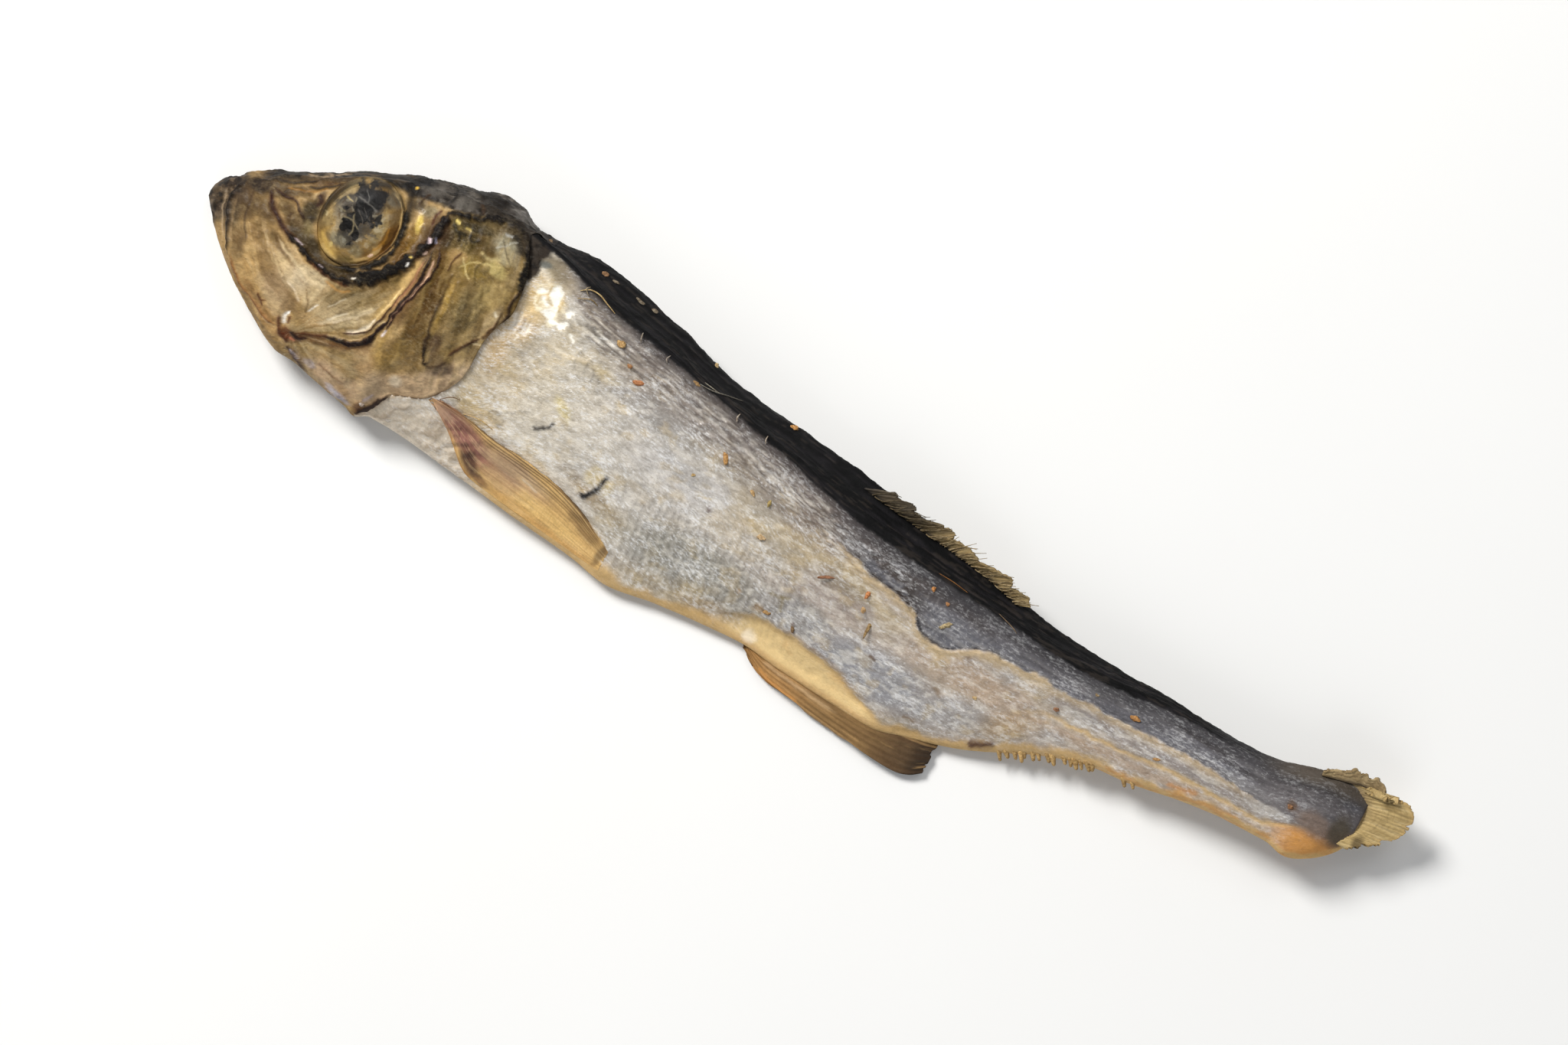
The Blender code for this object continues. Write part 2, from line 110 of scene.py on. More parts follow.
def nearCurve(path, s, h, reach):  # distance to the curve, and how far along it, 0 to 1
    line = catmull(path, 5)
    distance, along = np.full(s.shape, 99.0), np.zeros(s.shape)
    (s0, h0), (s1, h1) = line.min(0) - reach, line.max(0) + reach
    near = (s > s0) & (s < s1) & (h > h0) & (h < h1)
    if near.any():
        start, step = line[:-1], np.diff(line, axis=0)
        place = np.stack([s[near], h[near]], -1)[:, None, :]
        t = np.clip(((place - start) * step).sum(-1) / (step**2).sum(-1), 0, 1)
        d = np.linalg.norm(place - start - t[..., None] * step, axis=-1)
        best = d.argmin(-1)
        row = np.arange(len(best))
        distance[near] = d[row, best]
        along[near] = (best + t[row, best]) / len(step)
    return distance, along


def noise(x, y, seed, octaves=4, gain=0.5):  # smooth value noise from -1 to 1, once per unit
    total, size, weight = 0.0, 0.0, 1.0
    for k in range(octaves):
        table = np.random.default_rng(seed * 17 + k).random((256, 256)) * 2 - 1
        i, j = np.floor(x).astype(int), np.floor(y).astype(int)
        u, v = x - i, y - j
        u, v = u * u * (3 - 2 * u), v * v * (3 - 2 * v)
        a, b = table[i % 256, j % 256], table[(i + 1) % 256, j % 256]
        c, d = table[i % 256, (j + 1) % 256], table[(i + 1) % 256, (j + 1) % 256]
        total = total + weight * ((a * (1 - u) + b * u) * (1 - v) + (c * (1 - u) + d * u) * v)
        size, weight = size + weight, weight * gain
        x, y = x * 2.03 + 5.2, y * 2.03 + 1.3
    return total / size * 1.6


form = {
    "fleshEnd": 144.5, "nape": 36.8,  # s of the flesh's end and of the head's, on the back
    "dorsal": [
        (0, 0.6), (0.8, 1.9), (2.2, 2.8), (3.2, 4.3), (4.6, 5.3), (7, 6), (11, 7.9), (16, 10.6),
        (21, 12.6), (26, 13.7), (29.5, 14.7), (32, 14.3), (34.5, 13.1), (37, 13.1), (41, 13.4),
        (46, 12.7), (52, 11.3), (60, 8.9), (66, 7.8), (72, 7.2), (80, 6), (88, 4.8), (95, 3.4),
        (101, 1.9), (108, 1.1), (118, 0.5), (128, 0), (134, 0.4), (139, 1.8), (142, 3),
        (144.5, 2.4)],
    "ventral": [
        (0, -0.5), (1.2, -2), (3, -4), (6, -6.7), (10, -9.5), (14.5, -12), (17, -12.3),
        (21, -13.2), (24.5, -14), (25.7, -14.4), (27.3, -13.7), (31, -13.9), (38, -14.8),
        (46, -15.9), (54, -16.9), (59, -17.8), (64, -17.1), (70, -16.6), (75, -16.4), (80, -17),
        (87, -17.6), (92, -17.9), (96, -17), (102, -15.3), (106, -13.6), (110, -11.8),
        (115, -10.3), (120, -9.9), (126, -8.9), (132, -8.4), (136, -8.4), (138.5, -8.9), (141, -8),
        (143.5, -5.9), (144.5, -4.4)],
    "shoulder": [  # where the flank turns over into the black back
        (0, 0.3), (3, 3), (7, 5), (12, 7.2), (17, 9.6), (22, 10.9), (28, 12), (33, 12.1),
        (38, 11.2), (44, 9.3), (52, 7.6), (60, 5.9), (70, 3.7), (80, 1.3), (90, 0.1), (100, -0.7),
        (110, -0.9), (120, -0.8), (132, -0.9), (141, 0.4), (144.5, 0.4)],
    "thickness": [
        (0, 2.2), (2, 4), (5, 6.2), (10, 8.6), (16, 10.5), (24, 11.9), (31, 12.3), (37, 11.5),
        (46, 11.3), (60, 10.5), (75, 9.4), (90, 8.3), (105, 7.2), (120, 6.1), (132, 5.3), (140, 4),
        (144.5, 1.8)],
    "pressed": 0.25,  # how much of the right side is flat on the tray
    "rightShare": 0.6,
    "tailLift": (3.5, 92, 161.5), "snoutLift": (1, 0, 16),  # height, from s, to s
}
# Each section is a ring of corners: the place across (0 belly, 1 shoulder, 2 back), then the
# height as a share of the thickness, from the snout to the tail
ring = {
    "belly keel": (0.0, [(0, 0.50), (20, 0.30), (40, 0.16), (95, 0.12), (118, 0.30),
                         (144.5, 0.5)]),
    "left rim": (0.035, [(0, 0.70), (20, 0.52), (40, 0.29), (95, 0.23), (118, 0.52),
                         (144.5, 0.7)]),
    "lower flank": (0.22, [(0, 0.86), (25, 0.80), (40, 0.56), (90, 0.47), (112, 0.64),
                           (144.5, 0.9)]),
    "middle flank": (0.48, [(0, 0.96), (25, 0.96), (42, 0.80), (90, 0.72), (115, 0.86),
                            (144.5, 1.0)]),
    "upper flank": (0.77, [(0, 1.00), (25, 1.00), (42, 0.94), (90, 0.93), (115, 0.97),
                           (144.5, 1.0)]),
    "shoulder": (1.0, [(0, 0.93), (25, 0.90), (42, 1.00), (90, 1.00), (120, 0.94), (144.5, 0.9)]),
    "left back": (1.5, [(0, 0.78), (25, 0.74), (42, 0.78), (90, 0.78), (120, 0.76), (144.5, 0.7)]),
    "back": (2.0, [(0, 0.50), (25, 0.48), (42, 0.50), (90, 0.50), (120, 0.50), (144.5, 0.5)]),
    "right back": (1.56, [(0, 0.22), (25, 0.16), (42, 0.14), (90, 0.16), (120, 0.20),
                          (144.5, 0.3)]),
    "right shoulder": (0.86, [(0, 0.06), (25, 0.01), (42, 0.00), (90, 0.00), (120, 0.04),
                              (144.5, 0.1)]),
    "right flank": (0.48, [(0, 0.02), (25, 0.00), (42, 0.00), (90, 0.00), (120, 0.01),
                           (144.5, 0.0)]),
    "right belly": (0.10, [(0, 0.16), (25, 0.06), (42, 0.03), (90, 0.03), (120, 0.10),
                           (144.5, 0.2)]),
}
corner = {name: i for i, name in enumerate(ring)}
dorsalAt, ventralAt, shoulderAt, thickAt = (
    smoothLine(form[key]) for key in ("dorsal", "ventral", "shoulder", "thickness"))
gillAt = smoothLine([  # s of the gill cover's rear edge, at each h
    (-15, 25.3), (-12.5, 27.4), (-10.4, 29.0), (-9.4, 31.6), (-7.5, 33.5), (-4, 34.8), (-1, 34.9),
    (1.5, 35.4), (4, 36.3), (6.5, 36.0), (9, 35.4), (11, 34.2), (15, 31.5)])
foldAt = smoothLine([  # upper edge of the skin that has shrunk off the rear flank
    (76, -0.8), (80, -1.8), (84, -3.0), (88, -4.0), (90.3, -4.7), (91.7, -5.9), (93.6, -6.6),
    (95.4, -6.4), (97.2, -5.3), (100, -4.5), (106, -4.3), (116, -4.3), (126, -4.3), (134, -5.2)])
flapAt = smoothLine([(68, -15.6), (72, -14.2), (76, -13.1), (80, -13.3), (84, -13.9), (88, -15.2),
                     (92, -16.7)])


def section(s, c):  # h and z of the plain section at ring places c, 0 to 12
    dorsal, ventral, thick = dorsalAt(s), ventralAt(s), thickAt(s)
    shoulder = np.minimum(shoulderAt(s), dorsal - 0.25 * np.minimum(dorsal - ventral, 2))
    across, up = [], []
    for share, heights in ring.values():
        across.append(ventral + min(share, 1) * (shoulder - ventral)
                      + max(share - 1, 0) * (dorsal - shoulder))
        up.append(thick * smoothLine(heights)(s))
    across, up = np.array(across), np.array(up)
    i, count = np.floor(c).astype(int), len(ring)
    t = c - i
    weights = (-0.5 * t + t**2 - 0.5 * t**3, 1 - 2.5 * t**2 + 1.5 * t**3,
               0.5 * t + 2 * t**2 - 1.5 * t**3, -0.5 * t**2 + 0.5 * t**3)
    return [sum(w * np.take_along_axis(corners, ((i + k) % count)[None], 0)[0]
                for k, w in zip((-1, 0, 1, 2), weights)) for corners in (across, up)]


def backShare(c):  # 1 where the head joins the back
    return ramp(c, 4.6, 6.2) * fade(c, 8.0, 9.4)


def headReach(h, c):  # s of the head's rear edge
    return gillAt(h) * (1 - backShare(c)) + form["nape"] * backShare(c)


def lift(s):
    (snout, *snoutSpan), (tail, *tailSpan) = form["snoutLift"], form["tailLift"]
    return snout * fade(s, *snoutSpan) + tail * ramp(s, *tailSpan)


def sides(c):  # how much of the left's relief a ring place has, and of the right's
    count = len(ring)
    left = ramp(c, 0, 1) * fade(c, corner["back"] - 0.8, corner["back"])
    right = ramp(c, corner["back"], corner["back"] + 2) * fade(c, count - 2, count)
    return left, right


# how far down the back's or up the belly's side each point lies, for patterns that run over it
def wallDrop(z, c, parts):
    top, bottom, keel, under = (z[:, [sum(parts[:i])]] for i in (5, 9, 1, 11))
    back = np.where((c > 5) & (c < 9), np.minimum(top - z, z - bottom), 0)
    belly = np.where((c < 1) | (c > 11), np.minimum(keel - z, z - under), 0)
    return np.maximum(back, 0) - np.maximum(belly, 0)


def ringPlaces(parts):  # ring places for a number of parts in each span
    return np.concatenate([i + np.arange(n) / n for i, n in enumerate(parts)])


# paint, gloss and silver become attributes, and flow the skin's own coordinates in mm
def addLayers(mesh, data, pick):
    kinds = {"paint": ("FLOAT_COLOR", "color"), "flow": ("FLOAT_VECTOR", "vector")}
    for key, value in data.items():
        kind, field = kinds.get(key, ("FLOAT", "value"))
        chosen = value[pick]
        if key == "paint":
            chosen = np.column_stack([np.clip(chosen, 0, 1), np.ones(len(chosen))])
        layer = mesh.attributes.new(key, kind, "POINT")
        layer.data.foreach_set(field, np.ascontiguousarray(chosen, dtype=np.float32).ravel())


def newMesh(name, bm):
    mesh = bpy.data.meshes.new(name)
    bm.to_mesh(mesh)
    bm.free()
    return mesh


def moveVertices(mesh, points):  # points in mm
    places = toWorld(*np.moveaxis(points, -1, 0))
    mesh.vertices.foreach_set("co", places.astype(np.float32).ravel())


def linked(name, data):
    obj = bpy.data.objects.new(name, data)
    bpy.context.scene.collection.objects.link(obj)
    return obj


def newObject(name, mesh):
    bm = bmesh.new()
    bm.from_mesh(mesh)
    bmesh.ops.recalc_face_normals(bm, faces=bm.faces)
    bm.to_mesh(mesh)
    bm.free()
    mesh.shade_smooth()
    return linked(name, mesh)


def vertexPlaces(mesh):
    co = np.empty(len(mesh.vertices) * 3)
    mesh.vertices.foreach_get("co", co)
    return co.reshape(-1, 3)


# a closed skin from a sphere of rows: position gives each row and place its point in mm
def shell(name, rows, places, position):
    around = len(places)
    bm = bmesh.new()
    bmesh.ops.create_uvsphere(bm, u_segments=around, v_segments=rows, radius=1)
    mesh = newMesh(name, bm)
    co = vertexPlaces(mesh)
    row = np.rint(np.arccos(np.clip(co[:, 2], -1, 1)) / math.pi * rows).astype(int)
    col = np.rint(np.arctan2(co[:, 1], co[:, 0]) / math.tau * around).astype(int) % around
    t, c = np.meshgrid(np.linspace(0, 1, rows + 1), places, indexing="ij")
    grid, data = position(t, c)
    for end in (0, rows):
        grid[end] = grid[end].mean(0)
    moveVertices(mesh, grid[row, col])
    addLayers(mesh, data, (row, col))
    return newObject(name, mesh)


# a thin leaf: position gives u along it and v across it its point, and it gets a thickness
def sheet(name, size, thickness, position):
    bm = bmesh.new()
    bmesh.ops.create_grid(bm, x_segments=size[0], y_segments=size[1], size=1)
    mesh = newMesh(name, bm)
    co = vertexPlaces(mesh)
    points, data = position((co[:, 0] + 1) / 2, (co[:, 1] + 1) / 2)
    moveVertices(mesh, points)
    addLayers(mesh, data, slice(None))
    mesh.shade_smooth()
    obj = linked(name, mesh)
    if np.mean([p.normal.z for p in mesh.polygons]) < 0:
        mesh.flip_normals()
    solid = obj.modifiers.new("thickness", "SOLIDIFY")
    solid.thickness, solid.offset = thickness * mm, -1
    return obj


def blurred(field, times):  # on a grid that closes round
    for _ in range(times):
        field = (np.roll(field, 1, 1) + 2 * field + np.roll(field, -1, 1)) / 4
        ends = np.concatenate([field[:1], field, field[-1:]])
        field = (ends[:-2] + 2 * field + ends[2:]) / 4
    return field


def hollowed(relief, s, h, hollows):  # the relief with its hollows
    for atS, atH, long, tall, deep in hollows:
        relief = relief - deep * bump(np.hypot((s - atS) / long, (h - atH) / tall), 1)
    return relief


def pressedDown(z, s):  # flat where the fish lies on the tray
    return np.maximum(z, form["pressed"]) - form["pressed"] + lift(s)


def reliefShare(c, left, right):  # how much of the fine relief each ring place shows
    return left + 0.8 * right + (1 - left) * (1 - right) * (c > 5)


def shadeHollowsLightRidges(skin, height, strength):  # painted shade in the hollows of the relief and painted highlight on its ridges
    hollow = np.clip((blurred(height, 10) - height) / 0.12, -1, 1)
    shade = 1 - strength * np.where(hollow > 0, hollow, 0.45 * hollow)
    skin.paint *= shade[..., None]


def outward(grid):  # unit normals of a grid of points that closes round
    down = np.gradient(grid, axis=0)
    around = np.roll(grid, -1, 1) - np.roll(grid, 1, 1)
    normal = np.cross(around, down)
    return normal / np.maximum(np.linalg.norm(normal, axis=-1, keepdims=True), 1e-9)


tints = {
    "silver": (186, 180, 172), "cream": (212, 203, 186), "sand": (200, 180, 140),
    "amber": (205, 165, 100), "orange": (190, 132, 70), "rust": (150, 92, 52),
    "lilac": (172, 160, 148), "mist": (152, 150, 150), "slate": (98, 98, 104),
    "ink": (32, 31, 33), "soot": (52, 48, 45), "ash": (88, 82, 76),
    "olive": (118, 104, 64), "bronze": (120, 92, 52), "jaw": (165, 138, 97),
    "bark": (86, 62, 42), "seam": (40, 27, 20), "plum": (84, 54, 44), "wine": (110, 62, 40),
    "pearl": (232, 226, 214), "blush": (178, 152, 126), "white": (245, 242, 235),
    "honey": (150, 112, 58),
}


# paint, gloss, silver and relief of every point of a skin, laid on stroke by stroke
class Skin:
    def __init__(self, s, h, base, gloss, silver, wobble=0.18, seed=1, down=0.0):
        wobble = wobble * (1 + 0.5 * np.abs(down))
        self.s = s + wobble * noise(s * 1.1, (h + down) * 1.1, seed, 3)
        self.h = h + wobble * noise(s * 1.1, (h + down) * 1.1, seed + 1, 3)
        self.deep = self.h + down  # for patterns, which run on down the sides
        self.paint = np.zeros(s.shape + (3,)) + linear(base)
        self.gloss = np.zeros(s.shape) + gloss
        self.silver = np.zeros(s.shape) + silver
        self.height = np.zeros(s.shape)
        self.mask = np.ones(s.shape)

    def lay(self, weight, colour=None, gloss=None, silver=None, height=0.0):
        weight = np.clip(weight * self.mask, 0, 1)
        if colour is not None:
            self.paint += weight[..., None] * (linear(colour) - self.paint)
        if gloss is not None:
            self.gloss += weight * (gloss - self.gloss)
        if silver is not None:
            self.silver += weight * (silver - self.silver)
        self.height += weight * height

    # different paint where a field is high and where it is low
    def grain(self, field, high, low, where=1):
        for side, (strength, start, end, *paint) in ((field, high), (-field, low)):
            self.lay(strength * where * ramp(side, start, end), *paint)

    def stroke(self, path, width, colour=None, strength=1.0, height=0.0, core=0.0, taper=0.15,
               dash=0, **more):
        distance, along = nearCurve(path, self.s, self.h, 3 * width)
        thin = ramp(along, 0, taper) * fade(along, 1 - taper, 1) if taper else 1
        width = width * (0.35 + 0.65 * thin)
        if core:  # a solid line with a torn edge
            torn = 0.35 * noise(self.s * 1.9, self.h * 1.9, 14, 3)
            weight = fade(distance / width + torn, core, 1.15)
        else:
            weight = bump(distance, width)
        weight = weight * (0.25 + 0.75 * thin)
        if dash:
            weight = weight * ramp(noise(self.s / dash, self.h * 2 / dash, 9, 3), -0.15, 0.35)
        self.lay(strength * weight, colour, **more)
        self.height += height * weight * self.mask

    def layers(self, flow):
        return {"paint": self.paint, "gloss": self.gloss, "silver": self.silver, "flow": flow}

    # lighter or darker, stronger in colour and contrast
    def deepen(self, gain, colourful, contrast=1.0):
        grey = self.paint.mean(-1, keepdims=True)
        self.paint = np.clip(grey + (self.paint - grey) * colourful, 0.004, 1)
        self.paint *= gain * np.clip(grey / 0.26, 0.05, 1) ** (contrast - 1)

    def patch(self, s, h, long, tall, turn=0, colour=None, strength=1.0, height=0.0, ragged=0.0,
              **more):
        a = math.radians(turn)
        ds, dh = self.s - s, self.h - h
        u = (ds * math.cos(a) + dh * math.sin(a)) / long
        v = (-ds * math.sin(a) + dh * math.cos(a)) / tall
        away = np.hypot(u, v)
        weight = fade(away, 0.45, 1.25)
        if ragged:
            weight = fade(away + ragged * noise(self.s * 1.3, self.h * 1.3, 10, 3), 0.8, 1.15)
        self.lay(strength * weight, colour, **more)
        self.height += height * weight * self.mask


trunk = {
    "start": 21.0, "rows": 540, "parts": [6, 14, 30, 34, 30, 18, 12, 8, 6, 8, 8, 6],
    "end": (141, 144), "skinStep": 0.6, "foldStart": (76, 84), "foldEnd": (128, 136),
    "flapDrop": 0.9, "flapStart": (68, 76), "flapEnd": (88, 93), "underCover": 1.1,
    "hollows": [  # s, h, length, height, depth
        (45, 1.5, 9, 5, 0.45), (62, -6, 12, 5, 0.7), (84, -9, 10, 4, 0.6),
        (104, -7.5, 8, 2.5, 0.35), (38.5, 10.6, 1.2, 0.5, 0.4), (37.0, 4.4, 1.0, 2.5, 0.3)],
}


def lineOf(places):  # the h of ring places, such as the shoulder's, as a function of s
    return lambda s: ventralAt(s) + places * (shoulderAt(s) - ventralAt(s))


rightShoulderAt = lineOf(ring["right shoulder"][0])
glintSlope = smoothLine([(36, 0.0), (40, 2.2), (46, 4.8), (52, 6.2), (60, 6.6), (80, 6.6),
                         (145, 6.6)])


def flapDepth(s, h):  # how far below the upper edge of the belly's flap
    return flapAt(s) - h + 0.15 * noise(s * 0.5, h * 0.5, 6, 2)


def trunkPoints(t, c):  # the skin behind the head, at shares t of its length
    s = trunk["start"] + (form["fleshEnd"] - trunk["start"]) * t
    h, z = section(s, c)
    left, right = sides(c)
    ends = fade(s, *trunk["end"])
    # the large relief, which the solid has too
    fold = foldAt(s) - h
    onFold = ramp(s, *trunk["foldStart"]) * fade(s, *trunk["foldEnd"])
    foldWave = fold + 0.25 * noise(s * 0.9, h * 0.3, 5, 3)
    large = trunk["skinStep"] * onFold * (ramp(foldWave, -0.2, 0.12) - ramp(fold, 1.0, 6.0))
    flap = flapDepth(s, h)
    onFlap = ramp(s, *trunk["flapStart"]) * fade(s, *trunk["flapEnd"])
    large -= trunk["flapDrop"] * onFlap * ramp(flap, -0.25, 0.2) * ramp(h - ventralAt(s), 0, 1.8)
    large = hollowed(large, s, h, trunk["hollows"])
    z = z + large * ends * (left - form["rightShare"] * right)
    # under the head's edge the trunk dives out of sight
    down = wallDrop(z, c, trunk["parts"])
    under = ramp(headReach(h, c) - s, 0.25, 1.8)
    backWall = ramp(c, 5, 6) * fade(c, 8, 9)
    bellyWall = np.maximum(fade(c, 0.5, 1.6), ramp(c, 10.4, 11.5))
    z = z - trunk["underCover"] * under * np.clip((z - 0.45 * thickAt(s)) / 1.5, -1, 1)
    h = h - trunk["underCover"] * under * (backWall - bellyWall)
    z = pressedDown(z, s)
    plain = np.stack([s, h, z], -1)
    skin = paintTrunk(s, h, c, down)
    shadeHollowsLightRidges(skin, skin.height, 0.22)
    shown = ends * reliefShare(c, left, right)
    grid = plain + outward(plain) * (skin.height * shown)[..., None]
    grid[..., 2] = np.maximum(grid[..., 2], 0.02)
    flow = np.stack([s, h - shoulderAt(s) - glintSlope(s), z], -1)
    return grid, skin.layers(flow)


flankTints = [  # s, h, half length, half height, turn, colour, strength
    (38, -1, 3.4, 8, 5, (178, 158, 122), 0.6), (36.4, -0.4, 1.4, 3.4, 5, (190, 160, 112), 0.7),
    (35.8, -6, 1.6, 3, 10, (196, 178, 146), 0.7), (44, 1.5, 6, 5, 0, (170, 160, 140), 0.4),
    (52, 2.6, 7, 3, -10, (156, 146, 132), 0.5), (61, -3.6, 8, 2.6, -4, (206, 202, 198), 0.7),
    (44.5, -3.5, 4, 2, 0, (178, 166, 144), 0.35), (74, -3.6, 6, 2.6, -12, (146, 134, 116), 0.75),
    (82, -4.6, 4, 2.4, -20, (138, 124, 104), 0.75), (79.4, -11, 4, 2, 0, (122, 118, 110), 0.8),
    (77, -1.2, 4, 1.8, -18, (112, 98, 86), 0.65), (37, 7.2, 0.8, 1.6, 0, (150, 128, 98), 0.7),
    # at s 79.5, h 0.3: dark skin, partly painted shadow
    (79.5, 0.3, 4, 1.3, -10, (56, 48, 44), 0.75), (42.6, 8.3, 2, 0.7, -25, (128, 116, 104), 0.6),
    # at s 53, h -9.9: painted shadow along the pectoral fin's top edge
    (53, -9.9, 5, 0.9, -16, (150, 128, 92), 0.7), (68, -1, 5, 2, -12, (142, 134, 124), 0.5),
    (98, -8.6, 5, 2.4, 0, (178, 162, 142), 0.5), (66, -14.6, 9, 1.4, 2, (158, 138, 104), 0.6),
    (105, -10.6, 4, 1.6, 30, (168, 140, 100), 0.7), (38, 3.2, 1.6, 2.4, 0, "amber", 0.35),
    (44, 5.6, 4, 1.4, -12, "ash", 0.3), (38, -8, 3.4, 1.3, -4, (196, 168, 112), 0.6),
    (52, 1, 5, 3, 0, "mist", 0.25), (48.4, 2.4, 2.2, 0.8, -8, (198, 178, 132), 0.6),
    (51.6, 0.2, 1.1, 0.35, -14, "sand", 0.7), (45.8, -3, 1.7, 0.7, -38, (202, 186, 134), 0.8),
    (52.2, -7.9, 1.2, 1.3, 0, (206, 184, 126), 0.9), (54.2, -8.4, 0.9, 1, 0, (206, 184, 126), 0.8),
    (58.5, 1.5, 7, 2.2, -9, (156, 152, 146), 0.6), (67, 0.2, 7, 1.4, -10, (150, 148, 146), 0.6),
    (66, -11.6, 9, 3.6, 0, (140, 138, 128), 0.85), (73, -12, 5, 2.6, 0, (142, 138, 130), 0.6),
    (79, -11, 5, 2.6, 0, "mist", 0.6), (89, -12.8, 9, 3.4, -2, (142, 142, 146), 0.95),
    (99, -12.4, 5, 2.2, 22, "mist", 0.7), (97, -8, 7, 2, 0, "blush", 0.4),
    (74, -4, 7, 2, 0, "sand", 0.35), (71, -3, 3, 1.2, -10, "cream", 0.5),
    (85, -5, 5, 0.9, -18, "sand", 0.45), (56, -12, 3, 3, 0, (160, 148, 124), 0.5),
    (103, -8, 6, 2.2, 0, "blush", 0.4), (93.4, -5, 2.2, 1, 0, (120, 118, 116), 0.8),
    (82, -7.6, 6, 1.5, 0, (166, 152, 146), 0.4), (70, -15, 4, 1.2, 0, (186, 158, 118), 0.5),
]
flankLines = [  # path, width, colour, strength and perhaps height
    # two dark squiggles and their neighbours
    ([(43.8, -6.3), (44.4, -6), (44.9, -5.6)], 0.24, "soot", 0.95, -0.1),
    ([(44.8, -5.9), (45.3, -5.3), (45.8, -4.7)], 0.2, "soot", 0.95, -0.1),
    ([(53.4, -7), (53.45, -7.9), (53.2, -8.8), (52.9, -9.7), (52.3, -10.2), (51.8, -10)], 0.27,
     "ink", 1, -0.14),
    ([(52.8, -9.6), (52.4, -10.2), (51.9, -10.3), (51.7, -9.9)], 0.27, "ink", 1, -0.1),
    ([(40.2, -7.6), (40.7, -8)], 0.3, "ash", 0.5),
    ([(64.8, -4.9), (65.3, -5.4)], 0.2, "plum", 0.8, -0.1),
    ([(38.6, -7.2), (43, -4.8)], 0.1, "ash", 0.5, -0.05),
    ([(97.6, -6), (98.2, -6.4)], 0.3, "bark", 0.6),
    ([(88, -11), (89, -11.2)], 0.2, "bark", 0.8, -0.05),
    ([(102.4, -14.4), (103.6, -13.9), (105, -13.1)], 0.42, "plum", 0.9, -0.1),
    ([(75, -10), (76.6, -9.8), (77.6, -9.4)], 0.2, "olive", 0.6),
    ([(76.7, -9.6), (77.4, -11.6)], 0.28, "olive", 0.6),
    ([(74.4, -12.3), (75.6, -11.9)], 0.36, "bronze", 0.8),
    ([(79, -11.6), (79.6, -12.9)], 0.24, "bark", 0.75),
    ([(72, -11.4), (72.4, -11.6)], 0.25, "honey", 0.6),
    ([(94.4, -15.2), (96, -15.2)], 0.28, "bronze", 0.6),
    ([(96, -10.6), (97.4, -11.4)], 0.2, "bronze", 0.6),
    ([(63.8, -4.4), (64.8, -4)], 0.2, "sand", 0.6),
    # folds running back from the gill cover
    ([(41.4, 8.4), (43.4, 8), (45.6, 7.6), (49, 6.7), (54, 5.6)], 0.22, (96, 84, 76), 0.75, -0.14),
    ([(42.2, 7.6), (44.6, 7), (47.2, 6.4), (51, 5.2), (57, 3.9), (64, 2.6)], 0.22, (100, 88, 80),
     0.7, -0.14),
    ([(43.4, 6.6), (46, 5.8), (49.4, 4.9), (53, 4.2)], 0.22, "ash", 0.7, -0.16),
    # painted highlights on small upright folds behind the gill cover
    ([(36.6, 4), (36.8, 2.6), (36.5, 1.9)], 0.2, "pearl", 0.8, 0.2),
    ([(38.3, 3.8), (38.5, 2.6)], 0.2, "pearl", 0.7, 0.15),
    ([(37.4, 4.2), (37.6, 2.2)], 0.22, "honey", 0.5, -0.2),
    ([(40.5, 2.4), (43.6, 2.2), (46.2, 2.7)], 0.2, "sand", 0.4, -0.1),
    ([(45, 4.2), (44.6, 2.6), (44.8, 1.2)], 0.14, "ash", 0.35, -0.05),
    ([(46.8, 2.6), (47.2, 1)], 0.14, "ash", 0.45, -0.05),
    ([(47.6, 2.3), (47.9, 1.1)], 0.14, "ash", 0.45, -0.05),
    ([(46.2, 3.4), (45.8, 1.4)], 0.14, "ash", 0.35, -0.05),
]
backLines = [  # how far below the shoulder, from s, to s, width, colour, strength, height, gloss
    # the pearl and white rows are painted glints along the shoulder's ridges
    (1.15, 46, 73, 0.2, "pearl", 0.7, 0.08, 1), (0.75, 58, 76, 0.16, "pearl", 0.5, 0.06, 1),
    (1.75, 47, 74, 0.2, (96, 86, 80), 0.6, -0.1, 0.4), (2.35, 50, 78, 0.18, "white", 0.7, 0.08, 1),
    (2.9, 52, 72, 0.16, (110, 102, 98), 0.6, -0.08, 0.4),
    (3.5, 55, 80, 0.16, "pearl", 0.6, 0.06, 1), (0.4, 42, 60, 0.5, (150, 136, 128), 0.6, 0.1, 0.5),
    (3.9, 62, 82, 0.18, "ash", 0.4, -0.08, 0.4), (1.5, 60, 80, 0.18, "pearl", 0.5, 0.08, 1),
]


